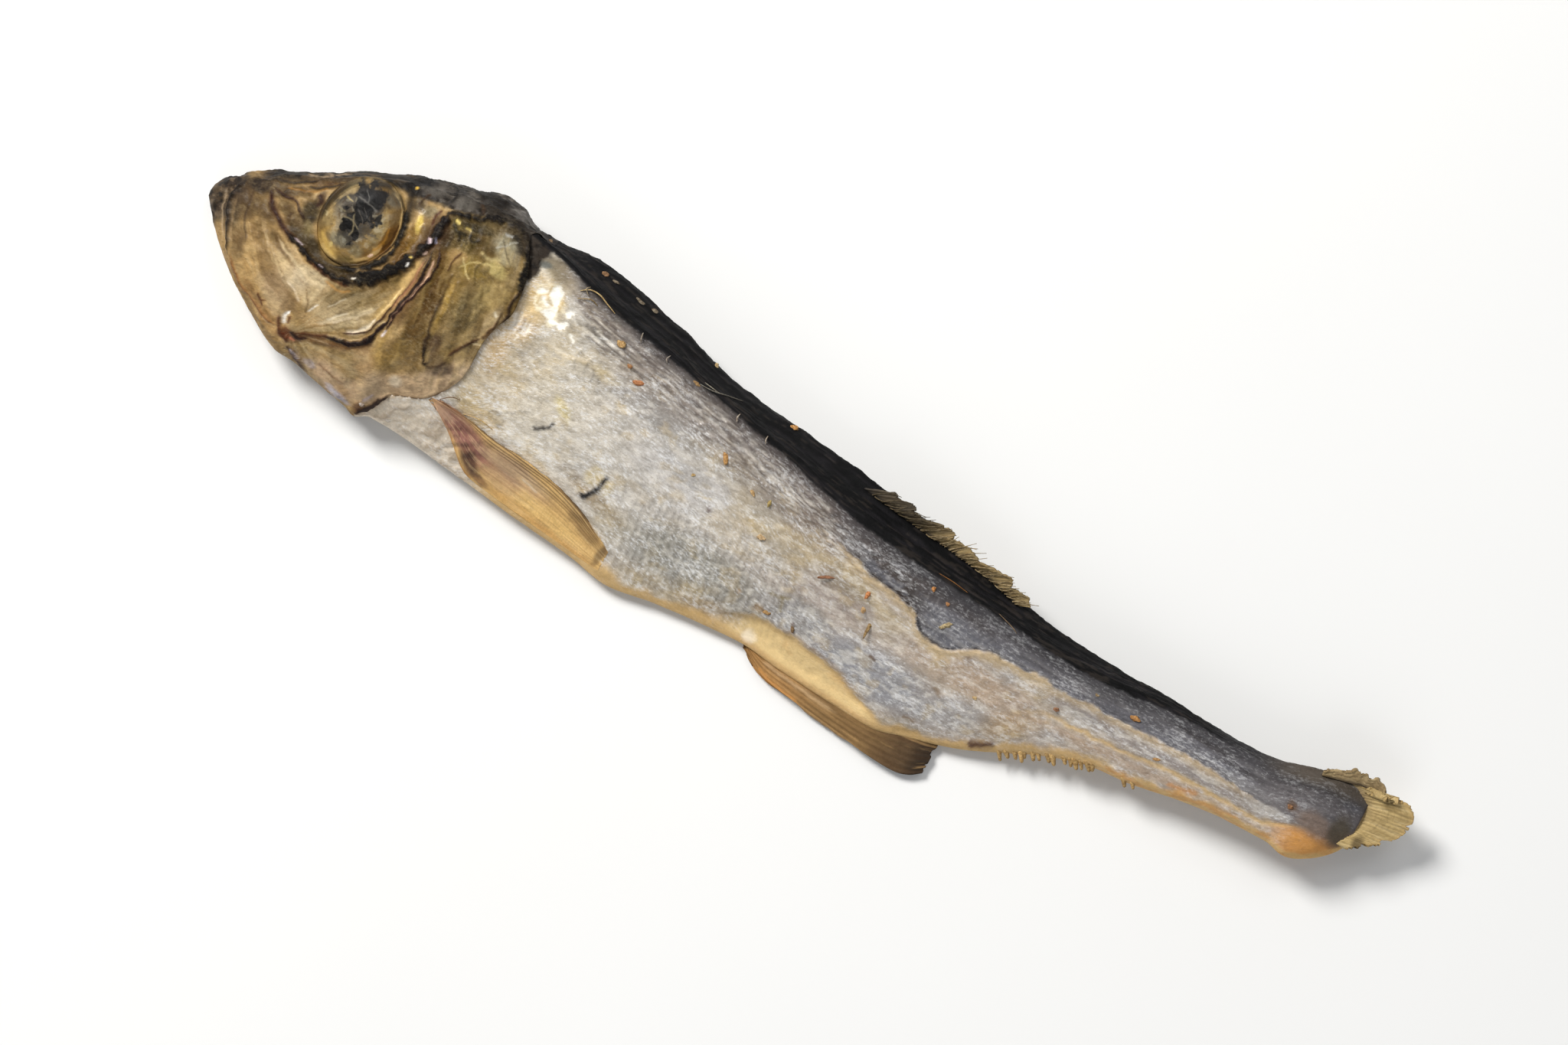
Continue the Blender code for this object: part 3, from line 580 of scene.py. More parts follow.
def paintTrunk(s, h, c, down):
    skin = Skin(s, h, "silver", 0.62, 0.75, seed=3, down=down)
    ws, wh, wn = skin.s, skin.h, skin.deep
    fromShoulder = shoulderAt(s) - h  # positive on the flank
    fromBelly = h - ventralAt(s)
    # the flank's broad changes of colour, from the gill cover to the tail
    skin.lay(fade(ws, 36, 64), "cream")
    skin.lay(ramp(ws, 62, 80), "lilac", 0.55, 0.55)
    for row in flankTints:
        skin.patch(*row)
    # cloudy stains of dried oil, and fine ones
    stain = ramp(noise(ws * 0.16, wn * 0.3, 21, 4), 0.12, 0.6)
    skin.lay(0.35 * stain * fade(ws, 95, 120), "sand")
    skin.lay(0.35 * ramp(noise(ws * 0.2, wn * 0.35, 22, 4), 0.2, 0.7), "mist")
    skin.lay(0.3 * ramp(noise(ws * 0.6, wn * 0.9, 23, 3), 0.35, 0.8), (200, 176, 126))
    # ridges of skin along the shoulder
    dusk = smoothLine([(37, 0), (44, 0.6), (50, 0.85), (62, 1), (76, 1.5), (88, 1.6), (96, 0.9),
                       (104, 0.6), (140, 0.5)])(s)
    under = fade(fromShoulder + 0.5 * noise(s * 0.3, h * 0.5, 34, 3), 0.2, 1.6 + 2.2 * dusk)
    skin.lay(np.minimum(0.7 * dusk, 0.9) * under, (98, 88, 84), None, 0.4)
    ridgeWave = fromShoulder / 0.55 + 1.5 * noise(s * 0.16, fromShoulder * 0.6, 31, 4)
    ridge = np.cos(math.tau * ridgeWave) * ramp(fromShoulder, 0.1, 0.8)
    ridge *= fade(fromShoulder, 3.4, 5.2)
    ridge *= ramp(s, 40, 46) * fade(s, 84, 92)
    skin.height += 0.09 * ridge
    # painted highlight on the ridges' crests and painted shade in their troughs
    skin.lay(0.55 * ramp(ridge, 0.1, 0.9) * ramp(noise(s * 0.7, h, 35, 3), -0.3, 0.3), "pearl",
             0.9, 0.6)
    skin.lay(0.6 * ramp(-ridge, 0.2, 0.9), (92, 82, 76), None, 0.3)
    # lines below the shoulder; the pale ones are painted glints
    for below, start, end, width, colour, strength, height, gloss in backLines:
        at = np.linspace(start, end, 9)
        wave = 0.15 * np.sin(at * 0.9 + below * 5) + below * ramp(at, start - 6, start + 6)
        skin.stroke(np.stack([at, shoulderAt(at) - wave], -1), width, colour, 0.7 * strength,
                    height, gloss=gloss, dash=1.5)
    # fine upright waves over the ribs
    rib = np.sin(math.tau * (ws + 0.12 * wh) / 0.85 + 2.2 * noise(s * 0.35, h * 0.2, 33, 2))
    ribs = ramp(s, 55, 60) * fade(s, *trunk["foldStart"]) * ramp(-h, 4, 8)
    ribs *= ramp(fromBelly, 0.6, 2)
    skin.height += 0.03 * rib * ribs
    skin.grain(rib, (0.24, 0.1, 0.9, "silver"), (0.2, 0.1, 0.9, "ash"), ribs)
    # crinkled skin everywhere, with painted glints on its crests and painted shade in its troughs
    ripple = noise((s + 0.4 * wh) * 0.8, wn * 2.4, 43, 3)
    skin.grain(ripple, (0.32, 0.12, 0.6, "pearl", 0.9, 0.9), (0.22, 0.12, 0.6, (138, 130, 118)))
    skin.height += 0.03 * ripple
    skin.height += 0.12 * noise(ws * 0.22, wn * 0.36, 41, 3)
    skin.height += 0.03 * noise(ws * 0.8, wn * 1.7, 42, 3)
    # bare dark muscle between the back and the fold of shrunken skin
    fold = foldAt(s) - h + 0.3 * noise(s * 0.8, h * 0.3, 5, 3)
    bare = ramp(-fold, -0.05, 0.2) * ramp(s, *trunk["foldStart"])
    bare *= 1 - 0.6 * ramp(s, 128, 140) * ramp(-h, 1, 6)
    skin.lay(bare, "slate", 0.6, 0.35)
    streak = noise(s * 0.16, fromShoulder * 1.9, 51, 4)
    skin.lay(0.85 * bare * ramp(streak, -0.05, 0.4) * fade(fromShoulder, 1.2, 3.2), "ink")
    # painted glints on the bare muscle where the streaks are low
    skin.lay(0.45 * bare * ramp(-streak, 0.15, 0.6), "mist", 0.9, 0.8)
    skin.height += 0.1 * bare * streak
    dash = np.sin(math.tau * (ws - 0.25 * wh) / 0.62 + noise(s, h, 52, 2) * 1.6)
    ribbed = bare * ramp(s, 80, 84) * fade(s, 96, 104) * ramp(fromShoulder, 0.8, 1.6)
    broken = ramp(noise(ws * 0.9, wh * 0.9, 53, 2), -0.2, 0.4)
    # painted glints on the upright dashes
    skin.lay(0.35 * ribbed * ramp(dash, 0.3, 0.9) * broken, "mist", 1.0, 0.9)
    skin.height += 0.03 * ribbed * dash
    front = bare * fade(ws, 88, 94)
    skin.lay(0.85 * front * ramp(noise(ws * 0.5, wh * 1.4, 54, 4), -0.45, 0.15), (56, 47, 40))
    # painted sparkles on the dark front of the bare muscle
    skin.lay(0.6 * front * ramp(noise(ws * 1.2, wh * 3.0, 55, 3), 0.32, 0.55), "mist", 1.0, 0.9)
    # the fold's own pale lip
    lip = ramp(fold, -0.1, 0.2) * fade(fold, 0.4, 1.5) * ramp(s, *trunk["foldStart"])
    lip *= fade(s, 132, 138)
    skin.lay(0.8 * lip, (176, 154, 118), 0.5, 0.15, height=0.06)
    skin.lay(0.6 * bump(fold + 0.22, 0.16) * ramp(s, 80, 86) * fade(s, 94, 108), "seam",
             height=-0.1)
    # behind the vent: a grey-lilac band, a tan line, a pink band and a tan rim
    tail = ramp(s, 104, 112)
    skin.lay(0.7 * tail * bump(h + 5.6, 0.8), (128, 122, 122), 0.8, 0.6)
    # painted glints in the grey-lilac band
    skin.lay(0.35 * ramp(noise(s * 0.5, h * 2.2, 64, 3), 0.2, 0.5) * tail * bump(h + 5.6, 0.9),
             "pearl", 1.0, 0.9)
    tanLine = smoothLine([(104, -9.5), (109, -7.4), (115, -7.3), (121, -6.9), (127, -6.6),
                          (134, -6.8), (139, -5.2)])
    line = h - tanLine(s) + 0.15 * noise(s, h, 61, 2)
    skin.lay(0.85 * tail * bump(line, 0.3), (198, 168, 118), 0.4, 0.1, height=0.12)
    skin.lay(0.6 * tail * bump(line + 1.0, 0.6), "blush", 0.5, 0.3)
    skin.stroke([(123.6, -8.1), (125.2, -7.8), (127.2, -7.4)], 0.3, "orange", 0.7)
    # orange flesh above the tail's root, and grey over its end
    skin.lay(0.9 * ramp(s, 134.5, 139) * ramp(-5.2 - h + 0.35 * (s - 138), -0.3, 0.7),
             (200, 140, 66), 0.35, 0.0)
    skin.lay(0.8 * ramp(s, 129, 137) * ramp(h, -6.4, -4.6), (96, 92, 94), 0.4, 0.2)
    for *row, gloss, silver in (
        # the first row is a band of painted glints
        (134.5, -5.4, 3.0, 0.7, 5, "silver", 0.7, 1.0, 0.9),
        (136.8, -3.7, 0.8, 0.7, 0, "bark", 0.8, 0.3, 0),
        (139.8, -4.2, 2.4, 1.4, 0, (122, 104, 92), 0.8, 0.3, 0),
        (142.8, -3.8, 1.4, 2.2, 0, (78, 70, 58), 0.9, 0.3, 0),
        (142.9, 0.2, 1.3, 1.5, 0, (112, 114, 124), 0.8, 0.8, 0.3),
        (141.0, 1.3, 2.6, 0.9, 12, (92, 76, 56), 0.9, 0.3, 0),
    ):
        skin.patch(*row, gloss=gloss, silver=silver)
    # tan rim of the belly, widest where the pectoral fin lies, and its smooth flap
    wide = smoothLine([(20, 0.3), (36, 0.5), (44, 2.0), (52, 3.0), (58, 1.9), (64, 1.0), (70, 1.3),
                       (92, 1.1), (100, 0.9), (106, 1.3), (112, 1.2), (124, 0.9), (134, 0.8),
                       (144, 0.8)])(s)
    deep = h + down
    rim = fade(fromBelly + 0.35 * noise(s * 0.6, deep * 0.6, 62, 3), 0.5 * wide, 1.25 * wide)
    skin.lay(0.92 * rim * ramp(s, 36, 44), (194, 160, 104), 0.35, 0.05)
    skin.lay(0.5 * rim * ramp(s, 112, 118) * ramp(noise(s * 0.7, deep * 2, 65, 3), 0, 0.5),
             "orange")
    flap = flapDepth(s, h)
    onFlap = ramp(s, 71, 75.5) * fade(s, 91, 93.5) * ramp(flap, -0.22, 0.18)
    skin.lay(onFlap, (209, 182, 130), 0.45, 0.05)
    skin.lay(0.35 * onFlap * ramp(noise(ws * 0.3, wh * 0.7, 66, 3), 0.1, 0.6), (200, 158, 100))
    skin.lay(0.35 * onFlap * bump(flap - 0.3, 0.3), (200, 164, 108))
    skin.lay(0.4 * bump(flap + 0.28, 0.2) * ramp(s, 76, 80) * fade(s, 88, 92), (160, 124, 78),
             height=0.04)
    skin.lay(0.5 * onFlap * fade(fromBelly, 0.3, 0.9), (176, 132, 78))
    # painted highlight on the flap
    skin.patch(75.4, -15.4, 1.0, 0.8, 0, "pearl", 0.45, gloss=0.9)
    # throat: pale wrinkled skin in front of the pectoral fin
    throat = fade(s, 38, 44) * ramp(-h, 8.5, 10.5)
    skin.lay(0.75 * throat, (204, 190, 170), 0.6, 0.35)
    wrinkle = noise((ws + 0.7 * wn) * 0.5, (wn - 0.6 * ws) * 1.5, 63, 4)
    skin.height += 0.2 * throat * wrinkle
    skin.lay(0.4 * throat * ramp(-wrinkle, 0.1, 0.6), (168, 142, 112))
    # round the gill cover: a bright scaly shoulder with painted highlights, a warm stain and
    # painted shadow in the gap under the cover's edge
    behind = s - gillAt(h)
    skin.patch(38.3, 6.6, 2.6, 2.6, -30, (214, 186, 134), 0.8, gloss=0.9, silver=0.5)
    litScaleScraps(skin)
    # painted highlight on the shoulder's scales
    skin.patch(36.3, 3.7, 0.7, 1.7, 5, (222, 198, 158), 0.8, gloss=0.8)
    skin.patch(38.4, 10.1, 2.6, 1.3, -20, (124, 112, 88), 0.9, gloss=0.4, silver=0.1,
               height=0.2)
    skin.patch(36.9, 10.0, 0.7, 0.5, 0, (92, 98, 96), 0.8, gloss=0.9)
    # painted glint
    skin.patch(42.0, 7.4, 2.5, 0.9, -25, "silver", 0.4, gloss=0.8, silver=0.9)
    # painted shadow in the gap under the cover's upper edge
    skin.lay(0.9 * bump(behind + 0.1, 0.26) * ramp(h, 2, 6), "seam", 0.7, 0)
    skin.lay(0.6 * bump(behind + 0.1, 0.3) * fade(h, 2, 6), "bronze", 0.5, 0)
    for row in flankLines:
        skin.stroke(*row, taper=0.1, silver=0.1)
    skin.stroke([(45, 5.0), (52, 3.9), (60, 2.3), (68, 0.2), (74, -1.6), (80, -3)], 1.6,
                (122, 110, 102), 0.5, taper=0.2)
    skin.deepen(1.07, 0.98)
    # the black back
    onBack = np.where(c < corner["back"], -fromShoulder, h - rightShoulderAt(s))
    onBack = onBack + 0.75 * ramp(s, 98, 110) * fade(s, 112, 122)
    edge = onBack + 0.14 * noise(s * 0.9, h * 0.9, 71, 4) + 0.05 * noise(s * 3, h * 3, 72, 2)
    black = ramp(edge, -0.12, 0.3) * (1 - 0.75 * ramp(s, 123, 134))
    below = ramp(s, 37, 42) * (1 - 0.4 * ramp(s, 96, 104))
    skin.lay(0.5 * fade(-edge, 0.8, 3.6) * below, (104, 96, 94), 0.6, 0.4)
    skin.lay(0.8 * fade(-edge, 0.0, 1.4) * below, (62, 57, 57), 0.5, 0.2)
    # darker below the back's edge from s 76 to 90: partly dark skin, partly painted shadow
    skin.lay(0.8 * ramp(edge, -2.4, -0.2) * ramp(s, 76, 90), (58, 57, 60), 0.5, 0.2)
    nape = np.minimum(np.hypot((ws - 34.8) / 2.1, (wh - 11.6) / 2.1),
                      np.hypot((ws - 35.7) / 0.9, (wh - 9.2) / 1.9))
    nape = fade(nape + 0.12 * noise(ws * 1.1, wh * 1.1, 76, 3), 0.75, 1.15)
    skin.lay(0.97 * nape, (38, 29, 22), 0.0, 0.0)
    skin.lay(0.7 * nape * ramp(noise(ws * 1.4, wh * 1.4, 77, 3), -0.1, 0.4), (18, 14, 12))
    skin.height += 0.1 * nape * noise(ws * 0.9, wh * 1.6, 78, 3)
    skin.lay(black, (10, 10, 11), 0.0, 0.0)
    deep = onBack + down
    grain = noise(s * 0.22, deep * 2.4, 73, 4)
    skin.lay(0.5 * black * ramp(grain, 0.05, 0.6), (34, 32, 35))
    skin.lay(0.25 * black * ramp(noise(s * 0.5, deep * 3.1, 75, 3), 0.35, 0.6), (72, 64, 58))
    skin.height += black * (0.10 * grain + 0.05 * noise(s * 1.5, deep * 4, 74, 3))
    skin.lay(0.6 * ramp(edge, -1.2, 0.4) * ramp(s, 130, 137), (92, 82, 70), 0.3, 0.1)
    return skin


def litScaleScraps(skin):  # flat scraps of scale on the shoulder, painted near white as a painted highlight, with tan creases between
    skin.patch(39.2, 6.9, 1.9, 1.7, -30, (236, 224, 194), 0.95, gloss=0.8, silver=0.1,
               ragged=0.4)
    skin.patch(40.2, 5.2, 0.8, 1.1, 10, (234, 224, 196), 0.9, gloss=0.9, silver=0.3,
               ragged=0.5)
    for row in (
        (38.5, 7.5, 0.9, 0.5, 20), (39.6, 7.4, 0.7, 1.0, -20), (38.9, 6.4, 0.7, 0.35, 40),
        (39.8, 6.2, 0.5, 0.9, -30), (40.0, 5.0, 0.9, 0.45, -10), (41.4, 4.9, 0.35, 0.6, -30),
        (41.6, 6.7, 0.35, 0.6, 30), (42.9, 4.2, 0.6, 0.2, -10),
    ):
        skin.patch(*row, (248, 244, 234), 0.85, gloss=1.0, silver=0.1, height=0.08, ragged=0.8)
    for path in (
        [(38.7, 8.6), (38.6, 7.4), (39.1, 6.6), (40.2, 6.3)],
        [(38.6, 7.4), (38.0, 6.7), (38.1, 5.8)],
        [(36.9, 6.9), (38.1, 6.8)], [(40.6, 8.2), (40.3, 7.0), (40.7, 6.0)],
    ):
        skin.stroke(path, 0.13, (206, 176, 116), 0.8, -0.05)
    # painted highlights on the upright folds below them
    for x, foot, top in ((37.3, 1.6, 4.2), (37.8, 1.2, 3.8), (38.3, 1.8, 3.4), (36.9, 2.4, 5.0)):
        skin.stroke([(x, top), (x + 0.2, (foot + top) / 2), (x - 0.1, foot)], 0.13,
                    (232, 222, 200), 0.7, 0.05, gloss=0.9)


head = {
    "rows": 330, "parts": [12, 34, 52, 56, 48, 30, 14, 8, 8, 10, 12, 10], "edge": 0.93,
    "plate": 0.22, "tone": (0.9, 1.14, 1.55),
    "hollows": [(12, 1.5, 4, 2.5, 0.5), (20.5, -4.0, 3, 2.0, 0.5), (32.6, 1.5, 1.2, 4, 0.25),
                (7.5, -1.5, 3, 1.2, 0.25)],
}
eye = {"s": 16.75, "h": 4.65, "across": 4.4, "down": 5.2, "lean": 0.06, "socket": 1.0,
       "rim": 0.8, "reach": 1.03}  # the row at its rim, and how far that lies past the outline


def eyeDistance(s, h):  # 1 on the eye's outline
    u, v = s - eye["s"] - eye["lean"] * (h - eye["h"]), h - eye["h"]
    return np.hypot(u / eye["across"], v / eye["down"])


def headPoints(t, c):
    # rows run back to the gill cover's edge, and the last ones fold in under it
    reach = np.full(c.shape, 34.0)
    for _ in range(4):
        reach = headReach(section(reach, c)[0], c)
    topSeam = backShare(c)
    s = reach * np.clip(t / head["edge"], 0, 1)
    fold = np.clip((t - head["edge"]) / (1 - head["edge"]), 0, 1)
    h, z = section(s, c)
    down = wallDrop(z, c, head["parts"])
    blunt = np.sqrt(1 - (1 - np.clip(s / 1.6, 0, 1)) ** 2)  # a rounded snout
    z = thickAt(s) * 0.55 + (z - thickAt(s) * 0.55) * (0.25 + 0.75 * blunt)
    left, right = sides(c)
    ends = ramp(s, 0, 2)
    # the large relief, which the solid has too
    r = eyeDistance(s, h)
    hooded = 0.08 + 0.92 * ramp(s - 0.35 * (h - eye["h"]), 13.0, 18.5)  # the lid covers its front
    large = -eye["socket"] * fade(r, 0.93, 1.10) * hooded
    toEdge = gillAt(h) - s
    thick = head["plate"] * (0.4 + 0.6 * ramp(h, -7, -1))
    large += thick * (1 - topSeam) * fade(toEdge, 2, 9) * ramp(toEdge, -0.5, 0.2)
    large = hollowed(large, s, h, head["hollows"])
    z = z + large * ends * (left - form["rightShare"] * right)
    z = pressedDown(z, s)
    plain = np.stack([s, h, z], -1)
    skin = paintHead(s, h, down, r)
    shadeHollowsLightRidges(skin, skin.height, 0.45)
    fine = skin.height * ends * reliefShare(c, left, right)
    grid = plain + outward(plain) * (fine * (1 - fold))[..., None]
    # fold the rim in under the cover
    heart = np.stack([s * 0 + 27, h * 0, s * 0 + 5.5], -1)
    rim = np.repeat(grid[[int(head["edge"] * head["rows"])]], len(t), 0)
    inward = rim + (heart - rim) * (fold**1.5)[..., None]
    inward[..., 2] -= 0.5 * np.sqrt(fold) * left
    grid = np.where(fold[..., None] > 0, inward, grid)
    grid[..., 2] = np.maximum(grid[..., 2], 0.02)
    # painted shade on the rows folded in under the cover
    skin.lay(fold > 0.05, (38, 30, 26), 0.2, 0)
    return grid, skin.layers(np.stack([s, h, z], -1))


headTints = [  # s, h, half length, half height, turn, colour, strength
    # jaws and snout
    (15, -3.2, 2.6, 1.1, -5, (188, 172, 142), 0.9),
    (13, -4.2, 2.4, 1.5, -20, (194, 178, 150), 0.9),
    (11, -3.2, 2.2, 1.1, -35, (188, 166, 130), 0.9),
    (16.2, -5.2, 1.7, 1.3, 0, (188, 170, 138), 0.8), (8.8, -2.4, 2, 1.1, -35, (146, 121, 84), 0.9),
    (12, -6.4, 2.8, 1.3, -30, (170, 148, 118), 0.8), (14, -6.9, 1, 1, 0, (144, 120, 88), 0.7),
    (8.6, -6, 3, 1.1, -38, (172, 142, 98), 0.7), (5.6, -3.4, 1, 2.2, 30, (124, 100, 69), 0.8),
    (3.6, -1.2, 1.3, 2, 10, (98, 80, 58), 0.95), (3.6, 1.2, 1.4, 1.5, 0, (104, 84, 62), 0.95),
    (2.2, -1.2, 0.7, 1.2, 20, (122, 105, 84), 0.8), (7, -1.4, 1.4, 1, -45, (136, 110, 74), 0.7),
    (6.8, 1, 1.8, 1.2, -30, (96, 74, 48), 0.8), (10.2, -1.7, 2.6, 0.7, -22, (112, 88, 56), 0.85),
    (5, 0.4, 1.2, 1.6, 0, (96, 76, 52), 0.8), (2.2, 2.6, 1.6, 1.2, 20, (54, 46, 38), 0.9),
    (5, 3.2, 2, 1.3, 10, (66, 50, 36), 1), (7.2, 3.6, 2, 1.1, 10, (78, 58, 38), 0.95),
    (9.4, 4.5, 1.6, 0.7, 15, (108, 84, 50), 0.9), (8.7, 2.2, 1.3, 0.8, 0, (104, 82, 54), 0.8),
    (11.7, 4.8, 0.7, 1.2, 0, (94, 70, 48), 0.85), (11.4, 2.8, 1.2, 1.9, 0, (62, 50, 30), 0.95),
    (13.4, -0.1, 1.4, 0.7, -25, (72, 60, 34), 0.9), (11.9, 0.9, 1.2, 1, -35, (98, 84, 46), 0.8),
    (10.2, 1.3, 1.7, 1, -30, (92, 68, 40), 0.95), (8, 5.5, 2.4, 0.6, 22, (104, 85, 60), 0.8),
    (5.2, 5, 1.5, 0.9, 10, (70, 58, 50), 0.9), (11.4, 6.8, 2.2, 0.9, 35, (98, 68, 36), 0.95),
    (13.6, 8.7, 2.6, 0.9, 32, (78, 62, 44), 0.95), (13, -9.4, 3.2, 1.2, -25, (170, 136, 94), 0.7),
    (10.4, -8.2, 3, 0.6, -35, (136, 100, 62), 0.6),
    # gold behind the eye, and the cheek
    (22.3, 4.2, 0.9, 3, -10, (122, 86, 36), 0.9), (22.5, 6.4, 0.8, 1.6, -5, (140, 105, 46), 0.9),
    (22.6, 7.5, 0.45, 1.2, 10, (214, 188, 108), 0.95), (23, 9.2, 1, 0.8, 20, (136, 124, 98), 0.9),
    (21.6, 9.4, 0.8, 1, 0, (84, 74, 60), 0.8), (22.8, 5, 0.3, 1.6, -12, (168, 130, 60), 0.6),
    (22.9, 1.2, 1.6, 1.4, -40, (112, 94, 46), 0.6),
    (20.6, -2.8, 2.4, 1.2, 35, (122, 102, 64), 0.85),
    (22.6, -1.6, 1.3, 2, 10, (138, 112, 66), 0.8), (18.4, -4, 2, 1.2, 40, (136, 118, 86), 0.8),
    (20.4, -5.2, 2.4, 1.3, 35, (144, 128, 98), 0.85),
    (17.6, -6.2, 1.8, 1.2, 40, (180, 160, 126), 0.8),
    (16.9, -7.4, 1.6, 0.9, 0, (174, 147, 108), 0.8),
    # painted highlight on the pale flap of the cheek's lower edge
    (22, -6.3, 1.1, 0.4, 24, (214, 198, 168), 0.85),
    (22.7, -5.4, 0.35, 0.9, -14, (210, 192, 160), 0.8),
    # behind and below the long ridge
    (15.9, -9.8, 1.9, 0.75, 14, (104, 58, 34), 0.95), (15, -9.9, 0.7, 0.8, 0, (122, 56, 32), 0.9),
    (18.8, -9, 1.8, 0.5, 12, (116, 80, 50), 0.85), (24.3, -8.4, 1.6, 2.2, 0, (166, 139, 105), 0.8),
    (20.4, -10.4, 2.6, 0.9, -4, (174, 146, 106), 0.85),
    (17.2, -11.6, 1.4, 0.6, -20, (122, 95, 78), 0.8), (21.4, -12, 3, 1.3, -12, (196, 170, 140), 1),
    (24.6, -12.2, 2.4, 1.4, -10, (184, 158, 128), 1),
    (26.8, -10.8, 2.2, 2.2, 30, (192, 168, 138), 1),
    # painted sheen: lilac-white along the throat's lower edge
    (18.9, -11.6, 0.9, 0.4, -14, (172, 166, 174), 0.7),
    (23, -13.2, 1.8, 0.35, -14, (186, 186, 204), 0.85),
    (25.8, -13.6, 0.7, 0.7, 0, (112, 72, 50), 0.8),
    # gill cover, from its dark top to the pale membrane below
    (25.9, 2.6, 0.6, 2.8, -6, (100, 67, 43), 0.8), (27, 5.2, 1.4, 1.6, 10, (124, 94, 52), 0.8),
    (27.4, 1.6, 0.9, 3, 4, (112, 83, 36), 0.85), (27, -2.4, 1.2, 2, 0, (122, 95, 54), 0.8),
    (25.8, -6.4, 1.6, 2.4, 0, (166, 138, 88), 0.9), (28.9, -6.4, 1.4, 1.8, 0, (142, 116, 78), 0.8),
    (30, -8.8, 3.2, 1.7, 25, (190, 164, 134), 1), (32.6, -6.8, 3, 2, 35, (196, 170, 140), 1),
    (34.4, -5, 1.6, 2.4, 20, (206, 182, 152), 1), (31, -5, 1.4, 1, 30, (116, 96, 72), 0.85),
    (30.8, -1.6, 1.2, 2.2, 0, (158, 136, 98), 0.85),
    (33.6, -1.6, 1.6, 2.4, 0, (158, 136, 98), 0.85),
    (34.6, 1.8, 0.9, 2.4, 0, (176, 156, 124), 0.9), (32.4, 3.6, 1.6, 2.2, 0, (162, 142, 96), 0.85),
    (30, 3.2, 0.9, 2.4, 8, (146, 120, 72), 0.8), (28.9, 1.8, 0.5, 3.4, 6, (132, 102, 52), 0.7),
    (30.4, 6.2, 1.8, 1.2, 0, (172, 148, 92), 0.9), (28.2, 8, 1.6, 1.2, 0, (98, 82, 42), 0.85),
    (26.2, 8, 1.1, 1.9, 0, (78, 64, 34), 0.9), (30.8, 9, 1.6, 0.9, 10, (120, 104, 70), 0.8),
    # painted sheen: the pale grey patches at s 32.8, h 8.6 and at s 32, h 10
    (32.8, 8.6, 1.2, 1, 30, (172, 162, 132), 0.85), (32, 10, 1.6, 0.6, 15, (128, 128, 122), 0.7),
    (34.4, 6.8, 0.8, 1.4, 0, (134, 116, 86), 0.8), (33.8, 4.6, 1.2, 1.8, 0, (168, 146, 102), 0.85),
    (28.2, 9.9, 3, 0.6, 12, (62, 52, 30), 0.85), (26.2, 9.2, 0.9, 0.9, 0, (132, 112, 50), 0.85),
    # painted sheen: the pale grey patches at s 32, h 9.8 and at s 33.7, h 9.2
    (28.4, 8.7, 1.4, 0.8, 10, (84, 70, 36), 0.9), (32, 9.8, 1.8, 1.4, -20, (156, 150, 128), 0.85),
    (33.7, 9.2, 0.5, 1.4, 15, (124, 118, 104), 0.7), (28, 6.2, 1.1, 0.9, 0, (170, 138, 94), 0.85),
    (30.2, 5.8, 1.5, 1.2, 0, (164, 141, 82), 0.8),
    (32.4, 6.9, 1.5, 0.8, -15, (200, 184, 128), 0.85),
    (31.6, 1.2, 1.6, 3, 10, (126, 110, 76), 0.85), (27.7, 0.4, 0.9, 3.4, 4, (108, 79, 40), 0.9),
    (29.2, 0.8, 0.42, 3.4, 6, (176, 146, 84), 0.85), (27.6, -3, 1.2, 1.8, 0, (118, 91, 54), 0.8),
    (25.9, -4.6, 0.7, 2.4, -6, (166, 140, 100), 0.8),
    (30.2, -3.4, 0.8, 1.5, 10, (110, 87, 68), 0.85),
    (32.2, -5.4, 1.8, 0.8, 35, (106, 89, 76), 0.8), (31, -8, 2.6, 1.4, 25, (200, 174, 142), 0.9),
    # painted highlight on the pale membrane
    (28.2, -9, 0.9, 0.7, 0, (218, 202, 178), 0.85),
    (33.7, -1.4, 0.9, 1.8, 10, (158, 138, 102), 0.8),
]
